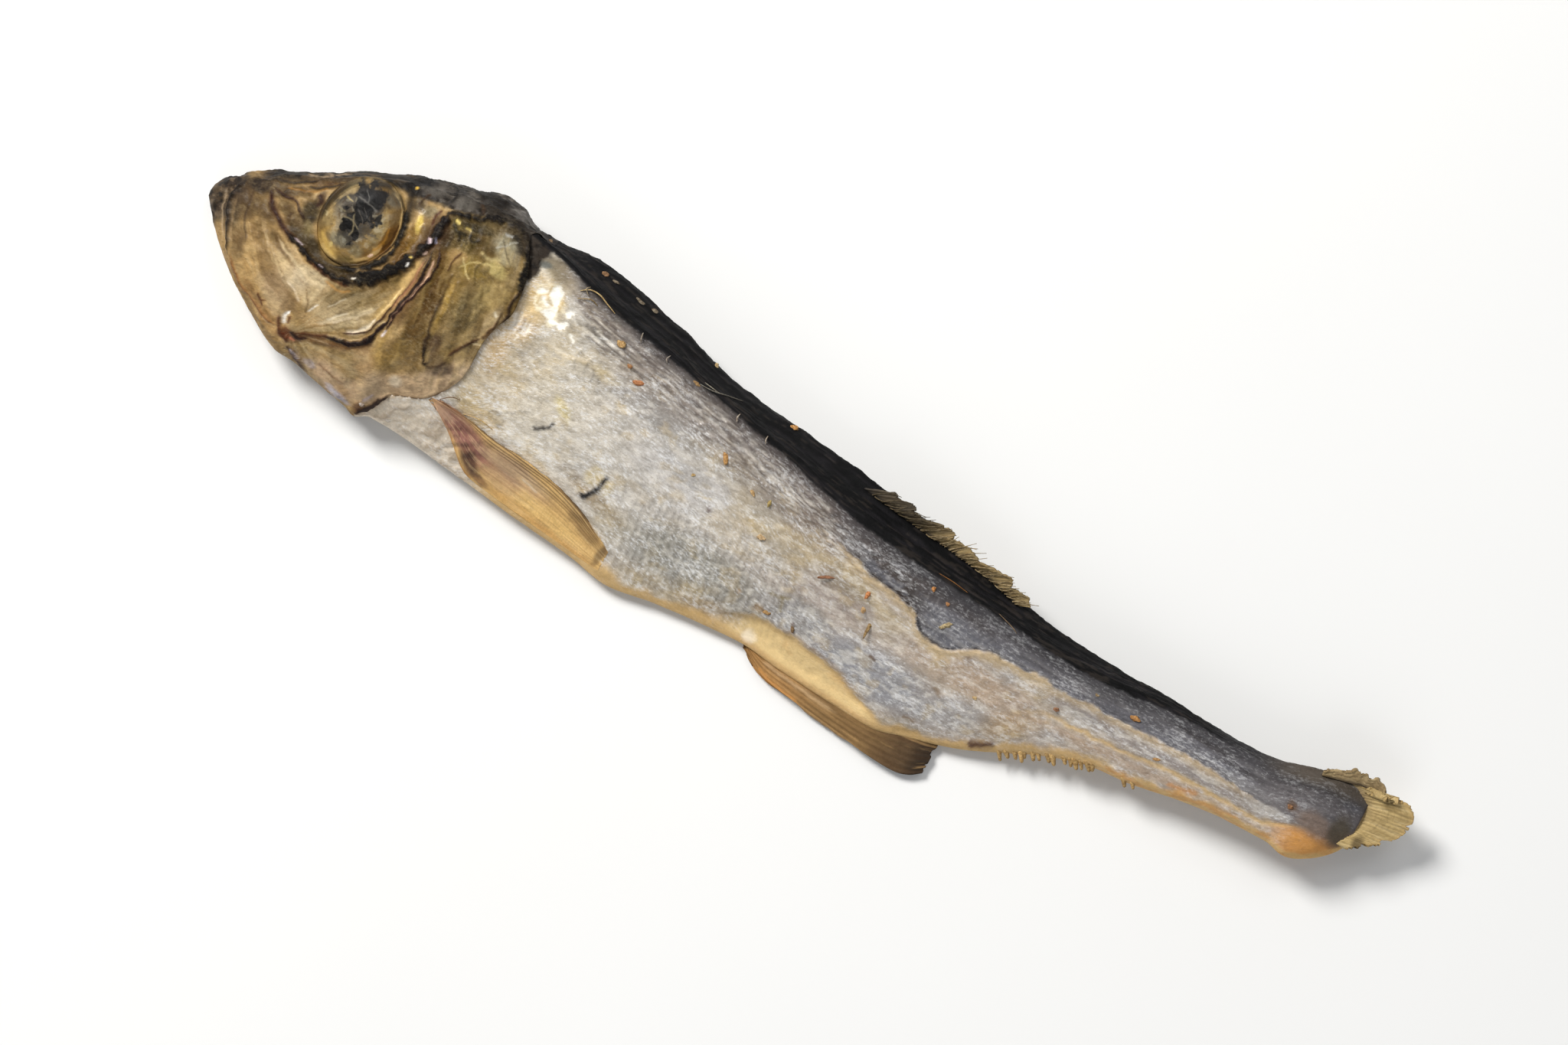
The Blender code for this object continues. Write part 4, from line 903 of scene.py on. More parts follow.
headLines = [  # path, width, colour, strength, height, gloss and perhaps core
    # painted shade beside the creases
    ([(9.4, 0.8), (13, -0.6), (16.6, -1.4), (19.6, -0.8)], 0.7, (72, 56, 30), 0.9, 0, 0.5),
    ([(18.6, -1.2), (20.6, -0.3), (22.2, 1.5), (23.6, 3.6), (24.3, 6.4), (24.6, 9.6)], 1.4,
     (84, 58, 30), 0.6, 0, 0.4),
    ([(25.2, 9.4), (27.6, 10), (30.6, 11.5), (33.6, 10.8)], 0.8, (66, 54, 28), 0.6, 0, 0.3),
    ([(24.6, 3.6), (25.4, 0), (24.9, -4)], 0.9, (112, 76, 48), 0.6, 0, 0.5),
    ([(24, -6.2), (22.6, -7.6), (19.6, -8.8)], 0.6, (112, 72, 44), 0.7, 0, 0.5),
    # crease in front of, under and behind the eye
    ([(6.4, 3.2), (7, 2), (7.9, 1.2), (9.8, 0), (12.4, -1)], 0.34, (84, 50, 40), 1, -0.2, 0.5),
    ([(10, -0.1), (12.3, -1), (14.4, -1.6), (16.5, -2), (18.6, -1.8), (20.4, -1.1)], 0.5,
     (48, 31, 22), 1, -0.35, 0.4, 0.1),
    ([(13.4, -1.7), (16.4, -2.4), (19.2, -2.2)], 0.16, (104, 52, 32), 0.7, 0, 0.5),
    ([(6.4, 3.5), (8.2, 3.3), (9.6, 3.2), (10.4, 2.5), (11.2, 1.7)], 0.2, "plum", 0.9, -0.15, 0.5),
    ([(11.4, 5.3), (11.9, 4.5), (11.7, 3.7)], 0.3, (78, 48, 40), 0.85, -0.1, 0.5),
    ([(18.4, -1.3), (20.3, -0.5), (21.5, 0.7), (22.6, 2), (23.4, 3.2), (23.9, 4.6)], 0.78,
     (38, 26, 19), 1, -0.45, 0.3, 0.5),
    ([(23.8, 3.8), (24.4, 5.4), (24.8, 7.4), (25, 9.8)], 1.1, (74, 44, 30), 0.8, 0, 0.4),
    ([(23.9, 4.2), (24.4, 5.8), (24.8, 7.8), (24.9, 9.8)], 0.62, (44, 25, 19), 1, -0.4, 0.4, 0.25),
    ([(23.9, 7.8), (23.8, 9.2), (24.1, 10)], 0.16, (94, 44, 30), 0.8, 0, 0.5),
    # painted highlights: small glints on the wet crease
    ([(24.3, 6.7), (24.6, 6.1)], 0.22, (214, 196, 200), 0.9, 0.15, 1),
    ([(24.9, 7), (25.2, 6.3)], 0.1, (170, 170, 190), 0.8, 0.1, 1),
    ([(23.7, 4), (23.5, 3.7)], 0.16, (206, 182, 110), 0.95, 0.1, 1),
    ([(23.6, 3.2), (23.5, 2.6)], 0.13, "white", 0.9, 0.1, 1),
    ([(24.5, 4.6), (24.8, 5.2)], 0.12, (224, 196, 180), 0.8, 0.1, 1),
    ([(18.9, -1.3), (19.4, -0.9)], 0.09, "pearl", 0.8, 0.05, 1),
    ([(11.2, -0.3), (12.4, -0.7)], 0.1, (190, 178, 186), 0.7, 0.05, 1),
    ([(14.8, -1.6), (15.6, -1.8)], 0.08, (170, 156, 160), 0.7, 0.05, 1),
    # three dark lines down the preopercle, and the pale skin between them with painted highlights
    # on it
    ([(24.7, 4.4), (24.1, 0.8), (23.7, -1.6), (22.9, -4.6)], 0.42, (202, 172, 120), 0.8, 0.1, 0.6),
    ([(24.2, 0.6), (23.8, -1.6), (23.1, -4)], 0.12, (226, 200, 150), 0.8, 0.04, 1),
    ([(23.2, -3.8), (22.9, -5), (22, -6.2), (20.9, -6.8)], 0.2, (226, 216, 196), 0.6, 0.1, 1),
    ([(25.2, 5.2), (24.8, 0.8), (24, -2.8), (23.2, -5.4), (21.8, -6.5), (20.4, -7)], 0.13,
     (88, 50, 34), 0.95, -0.12, 0.5),
    ([(25, 4.2), (24.9, 1), (24.3, -2.2)], 0.13, (184, 138, 104), 0.8, 0.04, 0.8),
    ([(25.3, 5.8), (25.6, 2.4), (25.1, -0.8), (24.5, -3.4), (24, -5.2), (23.4, -6.6)], 0.24,
     (66, 38, 28), 1, -0.22, 0.5, 0.3),
    ([(24, -5.4), (23.4, -6.6), (22.6, -7.3), (20.8, -7.9), (19, -8.3)], 0.36, (58, 30, 22), 1,
     -0.28, 0.5, 0.4),
    ([(19.6, -8.1), (18, -8.7), (16.4, -9.2)], 0.26, (108, 64, 40), 0.9, -0.1, 0.5),
    ([(25.8, 4.8), (26.1, 3.4), (25.7, 1), (25.2, -1.4), (24.7, -3.6)], 0.13, (204, 170, 146), 0.8,
     0.1, 1),
    ([(25.8, 6.2), (26.5, 4.6), (26.4, 2.8), (25.9, 0.8), (25.2, -1.6), (24.8, -3.8),
     (24.7, -4.8)], 0.17, (82, 48, 38), 1, -0.18, 0.5, 0.3),
    ([(24.8, -4.4), (24.7, -5.4)], 0.12, (230, 220, 220), 0.8, 0.04, 1),
    # streaks of the cheek
    ([(23, -2.4), (21.4, -4.6), (19, -6.4), (17.6, -7.6)], 0.22, (196, 182, 156), 0.5, 0.06, 0.8),
    ([(20.4, -4.8), (19.2, -5.8), (18.4, -6.6)], 0.12, (222, 212, 190), 0.5, 0.05, 1),
    ([(22.4, -3), (21.2, -4.4)], 0.1, (214, 196, 160), 0.6, 0.03, 0.9),
    ([(19.4, -3.4), (17.8, -5.4)], 0.12, (200, 188, 164), 0.6, 0.03, 0.8),
    ([(16.9, -5.6), (16.2, -6.8)], 0.1, "pearl", 0.6, 0.03, 0.9),
    # painted highlight by the jaw's hinge
    ([(14.5, -7.6), (14.1, -8.3), (14.4, -9.2)], 0.17, "white", 0.9, 0.08, 1),
    ([(14.7, -8), (14.8, -8.9)], 0.14, (120, 62, 40), 0.8, -0.08, 0.6),
    ([(13.6, -8.4), (13.9, -9.5), (14.8, -10.3), (15.8, -10.6)], 0.24, "wine", 0.9, -0.1, 0.6),
    ([(15.4, -9.4), (16.6, -9.7), (17.6, -9.3)], 0.24, (70, 32, 22), 0.9, -0.1, 0.6),
    ([(15.6, -10.2), (16.4, -10.1)], 0.14, (180, 120, 96), 0.8, 0.05, 0.8),
    ([(15.6, -11), (17, -11.8), (18.8, -12.5)], 0.2, "plum", 0.8, -0.1, 0.5),
    ([(19.6, -11.2), (21.4, -11.6), (23.4, -11.8)], 0.14, (130, 96, 70), 0.6, -0.05, 0.5),
    ([(16, -11.2), (17.6, -11.9)], 0.12, (180, 172, 176), 0.7, 0.04, 0.8),
    # gill cover: dark upper seam, sutures and membrane
    ([(24.6, 9.9), (26, 10.3), (27.4, 10.7)], 0.55, "seam", 1, -0.3, 0.4, 0.1),
    ([(27.2, 10.8), (28.4, 11.1), (29.4, 11.8), (31, 12)], 0.5, "seam", 1, -0.3, 0.4, 0.1),
    ([(30.8, 12), (32.2, 12.2), (33.6, 11.5), (34.8, 10.2)], 0.8, (50, 40, 33), 0.95, -0.2, 0.4),
    ([(32.2, 11.2), (33.4, 10.6), (34.2, 9.6)], 0.36, "soot", 0.7, -0.1, 0.5),
    ([(31.4, 10.9), (32.4, 11)], 0.16, (176, 178, 176), 0.6, 0.06, 0.8),
    # painted shadow in the gap under the cover's lifted rear edge
    ([(34.3, 10.8), (35, 9.4), (35.5, 7.8), (35.8, 5.6)], 0.8, (32, 23, 19), 1, -0.25, 0.4, 0.1),
    ([(35.7, 6.4), (35.5, 4.4), (35.8, 3.2), (35.5, 2)], 0.2, (70, 46, 32), 0.9, -0.2, 0.4),
    ([(35.1, 3.4), (35, 1.6), (34.6, 0.2)], 0.12, "bark", 0.6, -0.1, 0.5),
    ([(28.2, 7), (27.8, 5.6), (27.7, 4.2)], 0.13, (96, 56, 36), 0.75, -0.08, 0.6),
    ([(28.4, 6.6), (29.4, 5.4), (30.4, 4.5)], 0.1, (214, 198, 150), 0.6, 0.06, 0.9),
    ([(28.6, 5.2), (29.4, 6.2), (30.6, 6.8), (32.2, 7.2)], 0.1, (206, 190, 140), 0.5, 0.06, 0.9),
    ([(31, 4.4), (30.4, 6), (31, 7.4)], 0.1, (104, 86, 48), 0.5, -0.04, 0.5),
    ([(33.2, 10.8), (32, 9.8), (31.2, 9)], 0.09, (196, 194, 184), 0.5, 0.03, 0.9),
    ([(31.4, 10.4), (32.4, 9.2), (33.4, 8)], 0.09, (98, 90, 74), 0.6, -0.03, 0.5),
    ([(28, 9.3), (28.6, 8.4), (29.2, 9)], 0.14, (40, 32, 18), 0.8, -0.06, 0.5),
    ([(26.9, 8.4), (27.4, 7.8)], 0.14, (48, 38, 20), 0.7, -0.05, 0.5),
    ([(28.7, 2.4), (28.7, 0.4), (28.9, -1.6), (29.3, -3.8), (29.9, -5.4)], 0.24, (70, 44, 28),
     0.85, -0.14, 0.5),
    ([(29.3, -4), (29.9, -5.6), (30.4, -5.4)], 0.14, (52, 28, 20), 0.9, -0.1, 0.5),
    ([(28.4, 4.4), (28.5, 1.6)], 0.13, (110, 84, 46), 0.7, -0.05, 0.5),
    ([(28.9, 3.6), (28.9, 0.4), (29.2, -2.6)], 0.2, (166, 140, 92), 0.6, 0.06, 0.8),
    ([(35, 2.2), (34.9, 0.6), (34.5, -0.4)], 0.22, (112, 78, 50), 0.8, -0.1, 0.5),
    ([(34.4, -0.4), (33.4, -1.5), (32.7, -2.6), (32, -3.9)], 0.2, (92, 56, 38), 0.85, -0.1, 0.5),
    ([(34.8, 2.4), (34.4, 3)], 0.12, (230, 220, 196), 0.8, 0.05, 1),
    ([(34.9, -1), (33.8, -1.4)], 0.12, (206, 190, 156), 0.7, 0.05, 0.9),
    ([(33.6, 2.4), (32.8, -0.4), (31.6, -2.4)], 0.4, (152, 130, 92), 0.4, 0.05, 0.7),
    ([(29.9, -5.8), (31.2, -5.5), (32.2, -4.4)], 0.16, (96, 70, 48), 0.6, -0.06, 0.5),
    ([(34.3, -5), (33.4, -7.4), (31.8, -9.2), (29.6, -10.2), (28.4, -10.4)], 0.16, "bark", 0.6, 0,
     0.4),
    ([(28.2, -10.6), (27.3, -12.2), (26.4, -13.4), (25.6, -14.2)], 0.34, (72, 48, 40), 0.95, -0.3,
     0.5, 0.3),
    ([(26.8, -11.4), (26, -12.8)], 0.2, (180, 170, 176), 0.6, 0.08, 0.8),
    ([(25.9, 9.4), (26.6, 8.6), (27.8, 8.8)], 0.3, (54, 46, 22), 0.8, -0.1, 0.5),
    ([(26, 9.7), (26.6, 9.5)], 0.15, (206, 186, 116), 0.9, 0.06, 1),
    ([(27.2, 9.4), (28, 9.5)], 0.13, (180, 160, 100), 0.8, 0.06, 0.9),
    ([(29.8, 8), (31.2, 7.6), (32.4, 8.2)], 0.22, (182, 168, 126), 0.6, 0.06, 0.8),
    # painted shadow in the socket's gap behind the eye, and the plates of the skull
    ([(20.4, 8.8), (20.9, 7.4), (21.45, 6), (21.45, 4), (20.9, 2), (19.4, 0.2), (17.6, -0.8),
     (16, -1)], 0.42, (34, 24, 17), 0.95, -0.25, 0.4, 0.1),
    ([(20.2, 10.2), (20.9, 8.4), (21.3, 6.8)], 0.5, (40, 31, 24), 0.8, -0.1, 0.3),
    ([(21.4, 9.2), (21.8, 10.2), (22.1, 11)], 0.12, "bark", 0.8, -0.06, 0.4),
    ([(24.2, 10.8), (24.7, 11.8), (24, 12.8), (22.6, 13)], 0.15, "soot", 0.85, -0.1, 0.4),
    ([(27.4, 12.8), (28, 12.2), (28.4, 11.6)], 0.2, "bark", 0.8, -0.06, 0.4),
    ([(28.6, 13.9), (29.6, 12.9), (31.4, 12.8)], 0.12, (48, 42, 38), 0.7, -0.05, 0.3),
    # mouth, upper jaw and brow
    ([(3.4, 3.2), (2.7, 1.6), (2.6, -0.2), (3.4, -2), (4.3, -3.6), (5.2, -5.2)], 0.2, (60, 44, 33),
     0.85, -0.25, 0.5),
    ([(1.7, 1), (2, -0.8), (2.9, -2.6), (3.9, -4)], 0.13, (168, 148, 122), 0.6, 0.08, 0.7),
    ([(3.3, 0.8), (3.4, -0.8), (4.2, -2.6), (5, -4)], 0.2, (140, 118, 90), 0.5, 0.1, 0.6),
    ([(4.6, 3), (4.7, 1), (5.3, -1.2), (6.6, -3.4)], 0.16, (92, 70, 50), 0.6, -0.06, 0.5),
    ([(5.4, -5.2), (8, -7.4), (11.2, -9), (13.6, -9.8)], 0.18, "rust", 0.5, -0.15, 0.5),
    ([(10.2, -7.4), (10.9, -8), (11.4, -8.6)], 0.14, "wine", 0.85, -0.05, 0.5),
    ([(11.5, -7.7), (10.9, -8.1)], 0.12, "wine", 0.8, 0, 0.5),
    ([(4.6, 3.8), (6.6, 4.5), (8.6, 5.2), (10.8, 6.6)], 0.18, (56, 42, 32), 0.8, -0.12, 0.4),
    ([(9.6, 5.2), (11.8, 6.2), (14.2, 8.2)], 0.16, (66, 48, 32), 0.8, -0.1, 0.4),
    ([(8.8, 6.4), (11, 7.4), (13.6, 9)], 0.12, (176, 152, 122), 0.6, 0.06, 0.7),
    ([(7.6, 4.3), (9.8, 4.8), (12.2, 6.2)], 0.13, (150, 110, 60), 0.7, 0.05, 0.6),
    ([(12.6, 7.6), (13.2, 6.4)], 0.14, "bark", 0.6, -0.05, 0.5),
    ([(12.4, -4.8), (13.8, -5.4), (15, -6.4)], 0.14, (212, 196, 172), 0.6, 0.05, 0.8),
    ([(9.4, -1), (12, -2.4), (14.6, -3.4), (16.8, -3.2)], 0.2, (206, 188, 154), 0.6, 0.05, 0.7),
    ([(10.4, -3.2), (12.6, -5), (14.6, -6)], 0.13, (160, 136, 100), 0.6, -0.04, 0.6),
    ([(16.2, -2.9), (18.2, -3.1), (19.4, -2.6)], 0.16, (190, 140, 80), 0.5, 0.03, 0.6),
    ([(14.8, -4.6), (15.8, -5.8), (16, -7)], 0.14, (128, 102, 66), 0.6, -0.06, 0.5),
]


def paintHead(s, h, down, r):
    skin = Skin(s, h, "jaw", 0.5, 0.1, wobble=0.12, seed=8, down=down)
    ws, wh, wn = skin.s, skin.h, skin.deep
    fromBelly, fromBack = h - ventralAt(s), dorsalAt(s) - h
    cover = ramp(ws, 24.5, 26.5) * ramp(wh, -10.5, -6.5) * ramp(fromBelly, 0.5, 2.0)
    skin.lay(cover, (134, 111, 70), 0.6, 0.3)
    cheek = ramp(ws, 14, 17) * fade(ws, 23.5, 25) * fade(wh, -1.5, 0.5)
    skin.lay(0.8 * cheek, (150, 128, 90), 0.6, 0.3)
    for row in headTints:
        skin.patch(*row)
    gilt = ramp(ws, 21.2, 21.8) * fade(ws, 23.2, 24.2) * ramp(wh, 1.5, 3.5)
    skin.lay(gilt * fade(wh, 8.8, 9.6), None, 0.95, 0.4)
    # blotches of every size
    blotch = noise(ws * 0.55, wn * 0.55, 91, 5)
    skin.grain(blotch, (0.16, 0.05, 0.6, (88, 64, 38)), (0.14, 0.1, 0.6, (192, 170, 130)))
    speck = noise(ws * 1.7, wn * 1.7, 92, 4)
    skin.grain(speck, (0.12, 0.1, 0.6, (84, 60, 34)), (0.10, 0.12, 0.6, (204, 186, 146), 0.8))
    # rays and growth lines: over the cheek, along the jaws and down the gill cover
    fan = np.degrees(np.arctan2(wh + 9.5, ws - 15.5))
    rays = noise(fan * 0.24, np.hypot(ws - 15.5, wh + 9.5) * 0.12, 81, 3) * cheek
    skin.grain(rays, (0.3, 0.1, 0.6, (190, 174, 142), 0.8, 0.5, 0.04),
               (0.35, 0.1, 0.6, (128, 100, 60), 0.5))
    fromHinge = np.hypot(ws - 17, (wh - 8) * 0.82)
    growth = noise(fromHinge * 1.5, np.arctan2(wh - 8, ws - 17) * 2.0 + 0.3 * down, 82, 4)
    jaws = fade(ws, 14, 17) * fade(wh, -1.5, 0.5) * ramp(ws, 3, 6)
    skin.grain(growth, (0.4, 0.1, 0.6, (112, 84, 54), 0.5),
               (0.4, 0.1, 0.6, (204, 182, 146), 0.7), jaws)
    skin.height += 0.07 * jaws * growth
    fall = noise((ws + 0.18 * wh) * 1.1, wh * 0.16, 83, 4) * cover
    skin.grain(fall, (0.35, 0.12, 0.6, (98, 74, 38)), (0.3, 0.15, 0.6, (176, 152, 104), 0.8))
    skin.height += 0.06 * fall
    # skull roof and brow
    roofAt = smoothLine([(17, 10.4), (21, 10.2), (24, 10.4), (27, 10.9), (30, 12.0), (33, 12.0),
                         (35, 10.8), (37, 9.5)])
    roof = ramp(wh - roofAt(s), -0.25, 0.35) * ramp(ws, 18.0, 20.0)
    skin.lay(roof, (84, 77, 70), 0.45, 0.05)
    skin.lay(0.7 * roof * ramp(noise(ws * 1.1, wn * 1.3, 84, 4), 0.0, 0.4), (118, 112, 104),
             0.6)
    skin.lay(0.85 * roof * ramp(noise(ws * 0.8, wn * 1.5, 85, 4), 0.0, 0.35), (44, 36, 30))
    skin.height += 0.1 * roof * noise(ws * 0.9, wn * 1.3, 98, 4)
    for row in (
        (22.2, 11.6, 1.8, 0.9, 10, (104, 99, 93), 0.8),
        (26.0, 11.8, 1.6, 0.9, 20, (108, 103, 96), 0.8),
        (20.4, 12.0, 2.0, 1.0, 20, (46, 44, 45), 0.95),
        (18.4, 10.6, 2.4, 1.0, 22, (32, 28, 27), 0.95),
        (20.2, 10.4, 1.3, 0.8, 0, (42, 36, 32), 0.9),
        (29.0, 12.6, 2.2, 0.8, 10, (62, 53, 44), 0.8),
        (32.6, 13.6, 2.4, 0.6, 0, (128, 124, 120), 0.7),
        (31.6, 12.5, 1.8, 0.5, 0, (74, 66, 58), 0.7),
        (28.2, 13.8, 2.6, 0.9, 0, (50, 43, 37), 0.95),
        (24.6, 12.8, 1.2, 0.6, 10, (60, 55, 50), 0.6),
    ):
        skin.patch(*row, gloss=0.35)
    brow = fade(fromBack, 0.6, 1.6) * fade(ws, 19, 21) * ramp(ws, 4, 6)
    skin.lay(0.95 * brow, (44, 36, 29), 0.45)
    skin.lay(0.5 * brow * ramp(noise((fromBack + down) * 1.6, ws * 0.7, 93, 3), 0.2, 0.55),
             (120, 98, 72), 0.6)
    skin.patch(20.5, 10.8, 0.22, 0.2, 0, (206, 170, 86), 0.9, gloss=1.0)
    tip = fade(ws + 0.35 * np.abs(wh - 1.2), 2.4, 4.6)
    skin.lay(0.85 * tip, (66, 53, 44), 0.5, 0.0)
    tipNoise = noise(ws * 1.6, wn * 1.6, 86, 3)
    skin.grain(tipNoise, (0.7, 0.1, 0.5, (34, 28, 25)), (0.5, 0.2, 0.6, (132, 114, 92), 0.6), tip)
    skin.height += 0.22 * tip * noise(ws * 0.9, wh * 0.9, 87, 3)
    for path, width, colour, strength, height, gloss, *core in headLines:
        skin.stroke(path, width, colour, strength, height, *core, gloss=gloss, silver=0.1)
    skin.height += 0.6 * bump(np.hypot(ws - 4.6, wh - 4.7), 1.2)  # the upper jaw's knob
    # dark skin behind the crown, which joins the black back
    crown = ramp(s, 33.4, 35.8) * ramp(wh, 9.6, 11.2)
    skin.lay(crown, (66, 60, 57), 0.3, 0.0)
    swell, pores = noise(ws * 0.4, wn * 0.6, 88, 3), noise(ws * 1.9, wn * 1.9, 89, 3)
    skin.height += 0.12 * swell + 0.035 * pores
    skin.mask = fade(r, 0.98, 1.05)
    paintEye(skin, r)
    skin.mask = np.ones(s.shape)
    skin.deepen(*head["tone"])
    return skin


eyeTints = [  # s, h, half length, half height, turn, colour, strength
    # the rows at s 13.3, h 6.6 and at s 12.5, h 4.4 are painted shade round the eye's upper left
    # and left rim
    (13.3, 6.6, 1.2, 2.2, -15, (84, 72, 54), 0.9), (13.4, 3.2, 0.9, 1.6, 10, (150, 130, 92), 0.9),
    (12.5, 4.4, 0.45, 2.6, 0, (72, 60, 42), 0.9), (14.1, 1.5, 1.2, 1.2, 45, (166, 136, 82), 0.9),
    (15.4, 0.3, 1.6, 0.7, 0, (168, 140, 86), 0.9), (17.3, 0.1, 1.5, 0.6, 10, (116, 98, 60), 0.9),
    (19.2, 1.6, 1.1, 1.1, 45, (132, 99, 56), 0.9), (20.4, 4.2, 0.9, 2.6, 0, (116, 78, 31), 0.95),
    (20.1, 7.2, 0.8, 1.6, -15, (114, 90, 56), 0.9), (18.9, 8.5, 1.2, 1.2, 0, (104, 96, 82), 0.9),
    (16.6, 9.5, 2, 0.6, 0, (66, 60, 54), 0.9), (14.3, 6, 1.1, 2.2, 0, (88, 82, 74), 0.9),
    (15.5, 1.8, 1.5, 0.9, 0, (142, 134, 112), 0.9), (18.9, 4.6, 0.8, 2.2, 0, (138, 122, 88), 0.85),
    (14.2, 8, 1.2, 0.8, 45, (108, 98, 76), 0.8), (17.8, 1.6, 1, 0.8, 0, (128, 116, 88), 0.8),
    (15, 0.9, 0.3, 0.3, 0, (206, 184, 122), 0.7), (16.4, 4.6, 1.9, 3.2, 0, (88, 84, 78), 0.7),
    (16.7, 6.8, 1.8, 2.2, 0, (66, 64, 63), 0.9), (16.2, 3.2, 1.2, 1.5, 20, (74, 70, 62), 0.8),
]
eyePupil = [(16.5, 7.7, 1.6, 1.5, 0, (54, 53, 54)), (16.7, 5.6, 1.6, 1.4, -18, (40, 38, 37)),
            (16, 4.5, 0.9, 0.9, 0, (46, 44, 41)), (15.6, 3.6, 0.75, 0.55, -50, (30, 27, 25)),
            (15.4, 3.1, 0.4, 0.35, 0, (40, 37, 33)), (16.9, 2.9, 0.4, 0.9, 18, (26, 23, 20)),
            (16.7, 2.1, 0.35, 0.4, 0, (40, 36, 31)), (16.3, 3.2, 0.5, 0.3, 30, (56, 52, 46))]
eyeLines = [  # path, width, colour, strength
    ([(15, 7), (16.2, 6.85), (17.2, 6.7), (18, 6.3)], 0.1, (116, 113, 108), 0.8),
    ([(15.6, 8.2), (16.4, 7.4), (16.6, 6.8)], 0.08, (120, 118, 114), 0.7),
    ([(14.6, 4.2), (15.6, 4.4), (16.4, 4.1), (17, 3.7)], 0.1, (132, 122, 98), 0.8),
    ([(15.7, 5.2), (16, 4.4), (16.4, 3.4), (16.3, 2.6)], 0.1, (136, 124, 98), 0.8),
    ([(16.4, 6.4), (17, 5.6), (17.8, 5.2)], 0.08, (96, 92, 88), 0.7),
    ([(15.8, 5.8), (16.8, 5), (17.2, 4.2)], 0.07, (104, 98, 90), 0.7),
    ([(17, 3.6), (17.8, 3.2), (18.4, 3.3)], 0.09, (92, 86, 72), 0.6),
    ([(14, 6.4), (15, 6.2)], 0.09, (178, 160, 112), 0.7),
    ([(13.7, 5), (14.9, 4.9)], 0.1, (150, 140, 112), 0.6),
    # painted glints on the eye
    ([(19.2, 1.7), (19.5, 2.2)], 0.15, (226, 196, 176), 0.85),
    ([(12.9, 4), (13.1, 3.4)], 0.14, (214, 200, 160), 0.6),
    ([(20.6, 6.6), (20.7, 4.8), (20.2, 2.8)], 0.13, (84, 54, 26), 0.7),
    ([(19.9, 5.6), (20, 3.6), (19.4, 2.4)], 0.14, (166, 122, 62), 0.7),
    ([(16.2, -0.2), (18.2, 0.2), (19.6, 1.3)], 0.16, (88, 66, 36), 0.8),
    ([(13.4, 1.8), (14.6, 0.6), (16, 0)], 0.16, (190, 160, 98), 0.7),
    ([(18.4, 7.4), (19.4, 6), (19.6, 4.4)], 0.14, (150, 130, 92), 0.6),
]


# the dried eye: an amber ring, clouded skin and black scraps of the pupil
def paintEye(skin, r):
    skin.lay(fade(r, 1.0, 1.04), (146, 120, 78), 0.5, 0.05)
    for row in eyeTints:
        skin.patch(*row)
    turn = np.arctan2(skin.h - eye["h"], skin.s - eye["s"])
    ringed = noise(r * 5.0, turn * 1.6, 95, 3) * ramp(r, 0.5, 0.75)
    skin.grain(ringed, (0.4, 0.1, 0.6, (202, 176, 126), 0.6), (0.4, 0.1, 0.6, (104, 78, 44)))
    mottle = noise(skin.s * 1.5, skin.h * 1.5, 96, 4)
    cloud = fade(r, 0.5, 0.9)
    skin.grain(mottle, (0.5, 0.05, 0.5, (70, 66, 60)), (0.35, 0.1, 0.6, (172, 168, 150)), cloud)
    for row in eyePupil:
        skin.patch(*row, 0.93, ragged=0.6, gloss=0.6)
    haze = ramp(noise(skin.s * 1.3, skin.h * 3.4, 97, 3), 0.1, 0.6)
    skin.lay(0.3 * fade(r, 0.3, 0.8) * haze, (104, 102, 100))
    for row in eyeLines:
        skin.stroke(*row, gloss=0.7)
    # painted shadow in the socket's gap along the eye's rear rim
    behind = ramp(skin.s - 0.4 * (skin.h - 4.6), 15.5, 18.5)
    skin.lay(0.9 * ramp(r, 0.94, 1.0) * behind, (50, 36, 24), 0.4)
    skin.height += 0.05 * mottle + 0.05 * ringed


# a dried eyeball: row 0 is its middle, and the rows after its rim are its back
def eyePoints(t, c):
    rim, reach = eye["rim"], eye["reach"]
    r = np.where(t < rim, t / rim * reach, reach - (t - rim) / (1 - rim) * reach)
    turn = math.tau * c
    u, v = r * eye["across"] * np.cos(turn), r * eye["down"] * np.sin(turn)
    s, h = eye["s"] + u + eye["lean"] * v, eye["h"] + v
    skin = Skin(s, h, "honey", 0.5, 0.05, wobble=0.12, seed=8)
    paintEye(skin, r)
    skin.deepen(*head["tone"])
    floor = skinHeight(headTree, s, h)
    edgeDrop = fade(dorsalAt(s) - h, 0.3, 1.7)  # it sinks with the edge of the roof
    floor = np.where(np.isnan(floor), np.nanmean(floor), floor)
    lowest = floor.mean()
    dome = 0.16 * ramp(1 - r, -0.03, 0.12) + 0.34 * ramp(1 - r, 0.0, 0.5) + 0.3 * (1 - r * r)
    z = np.where(t < rim, blurred(floor, 4) - 0.1 + dome, lowest - 0.9 * ramp(t, rim, 1.0))
    z = z + np.where(t < rim, skin.height * 0.8 * ramp(1 - r, 0, 0.1), 0) - 1.6 * edgeDrop
    return np.stack([s, h, z], -1), skin.layers(np.stack([s, h, 0 * s], -1))


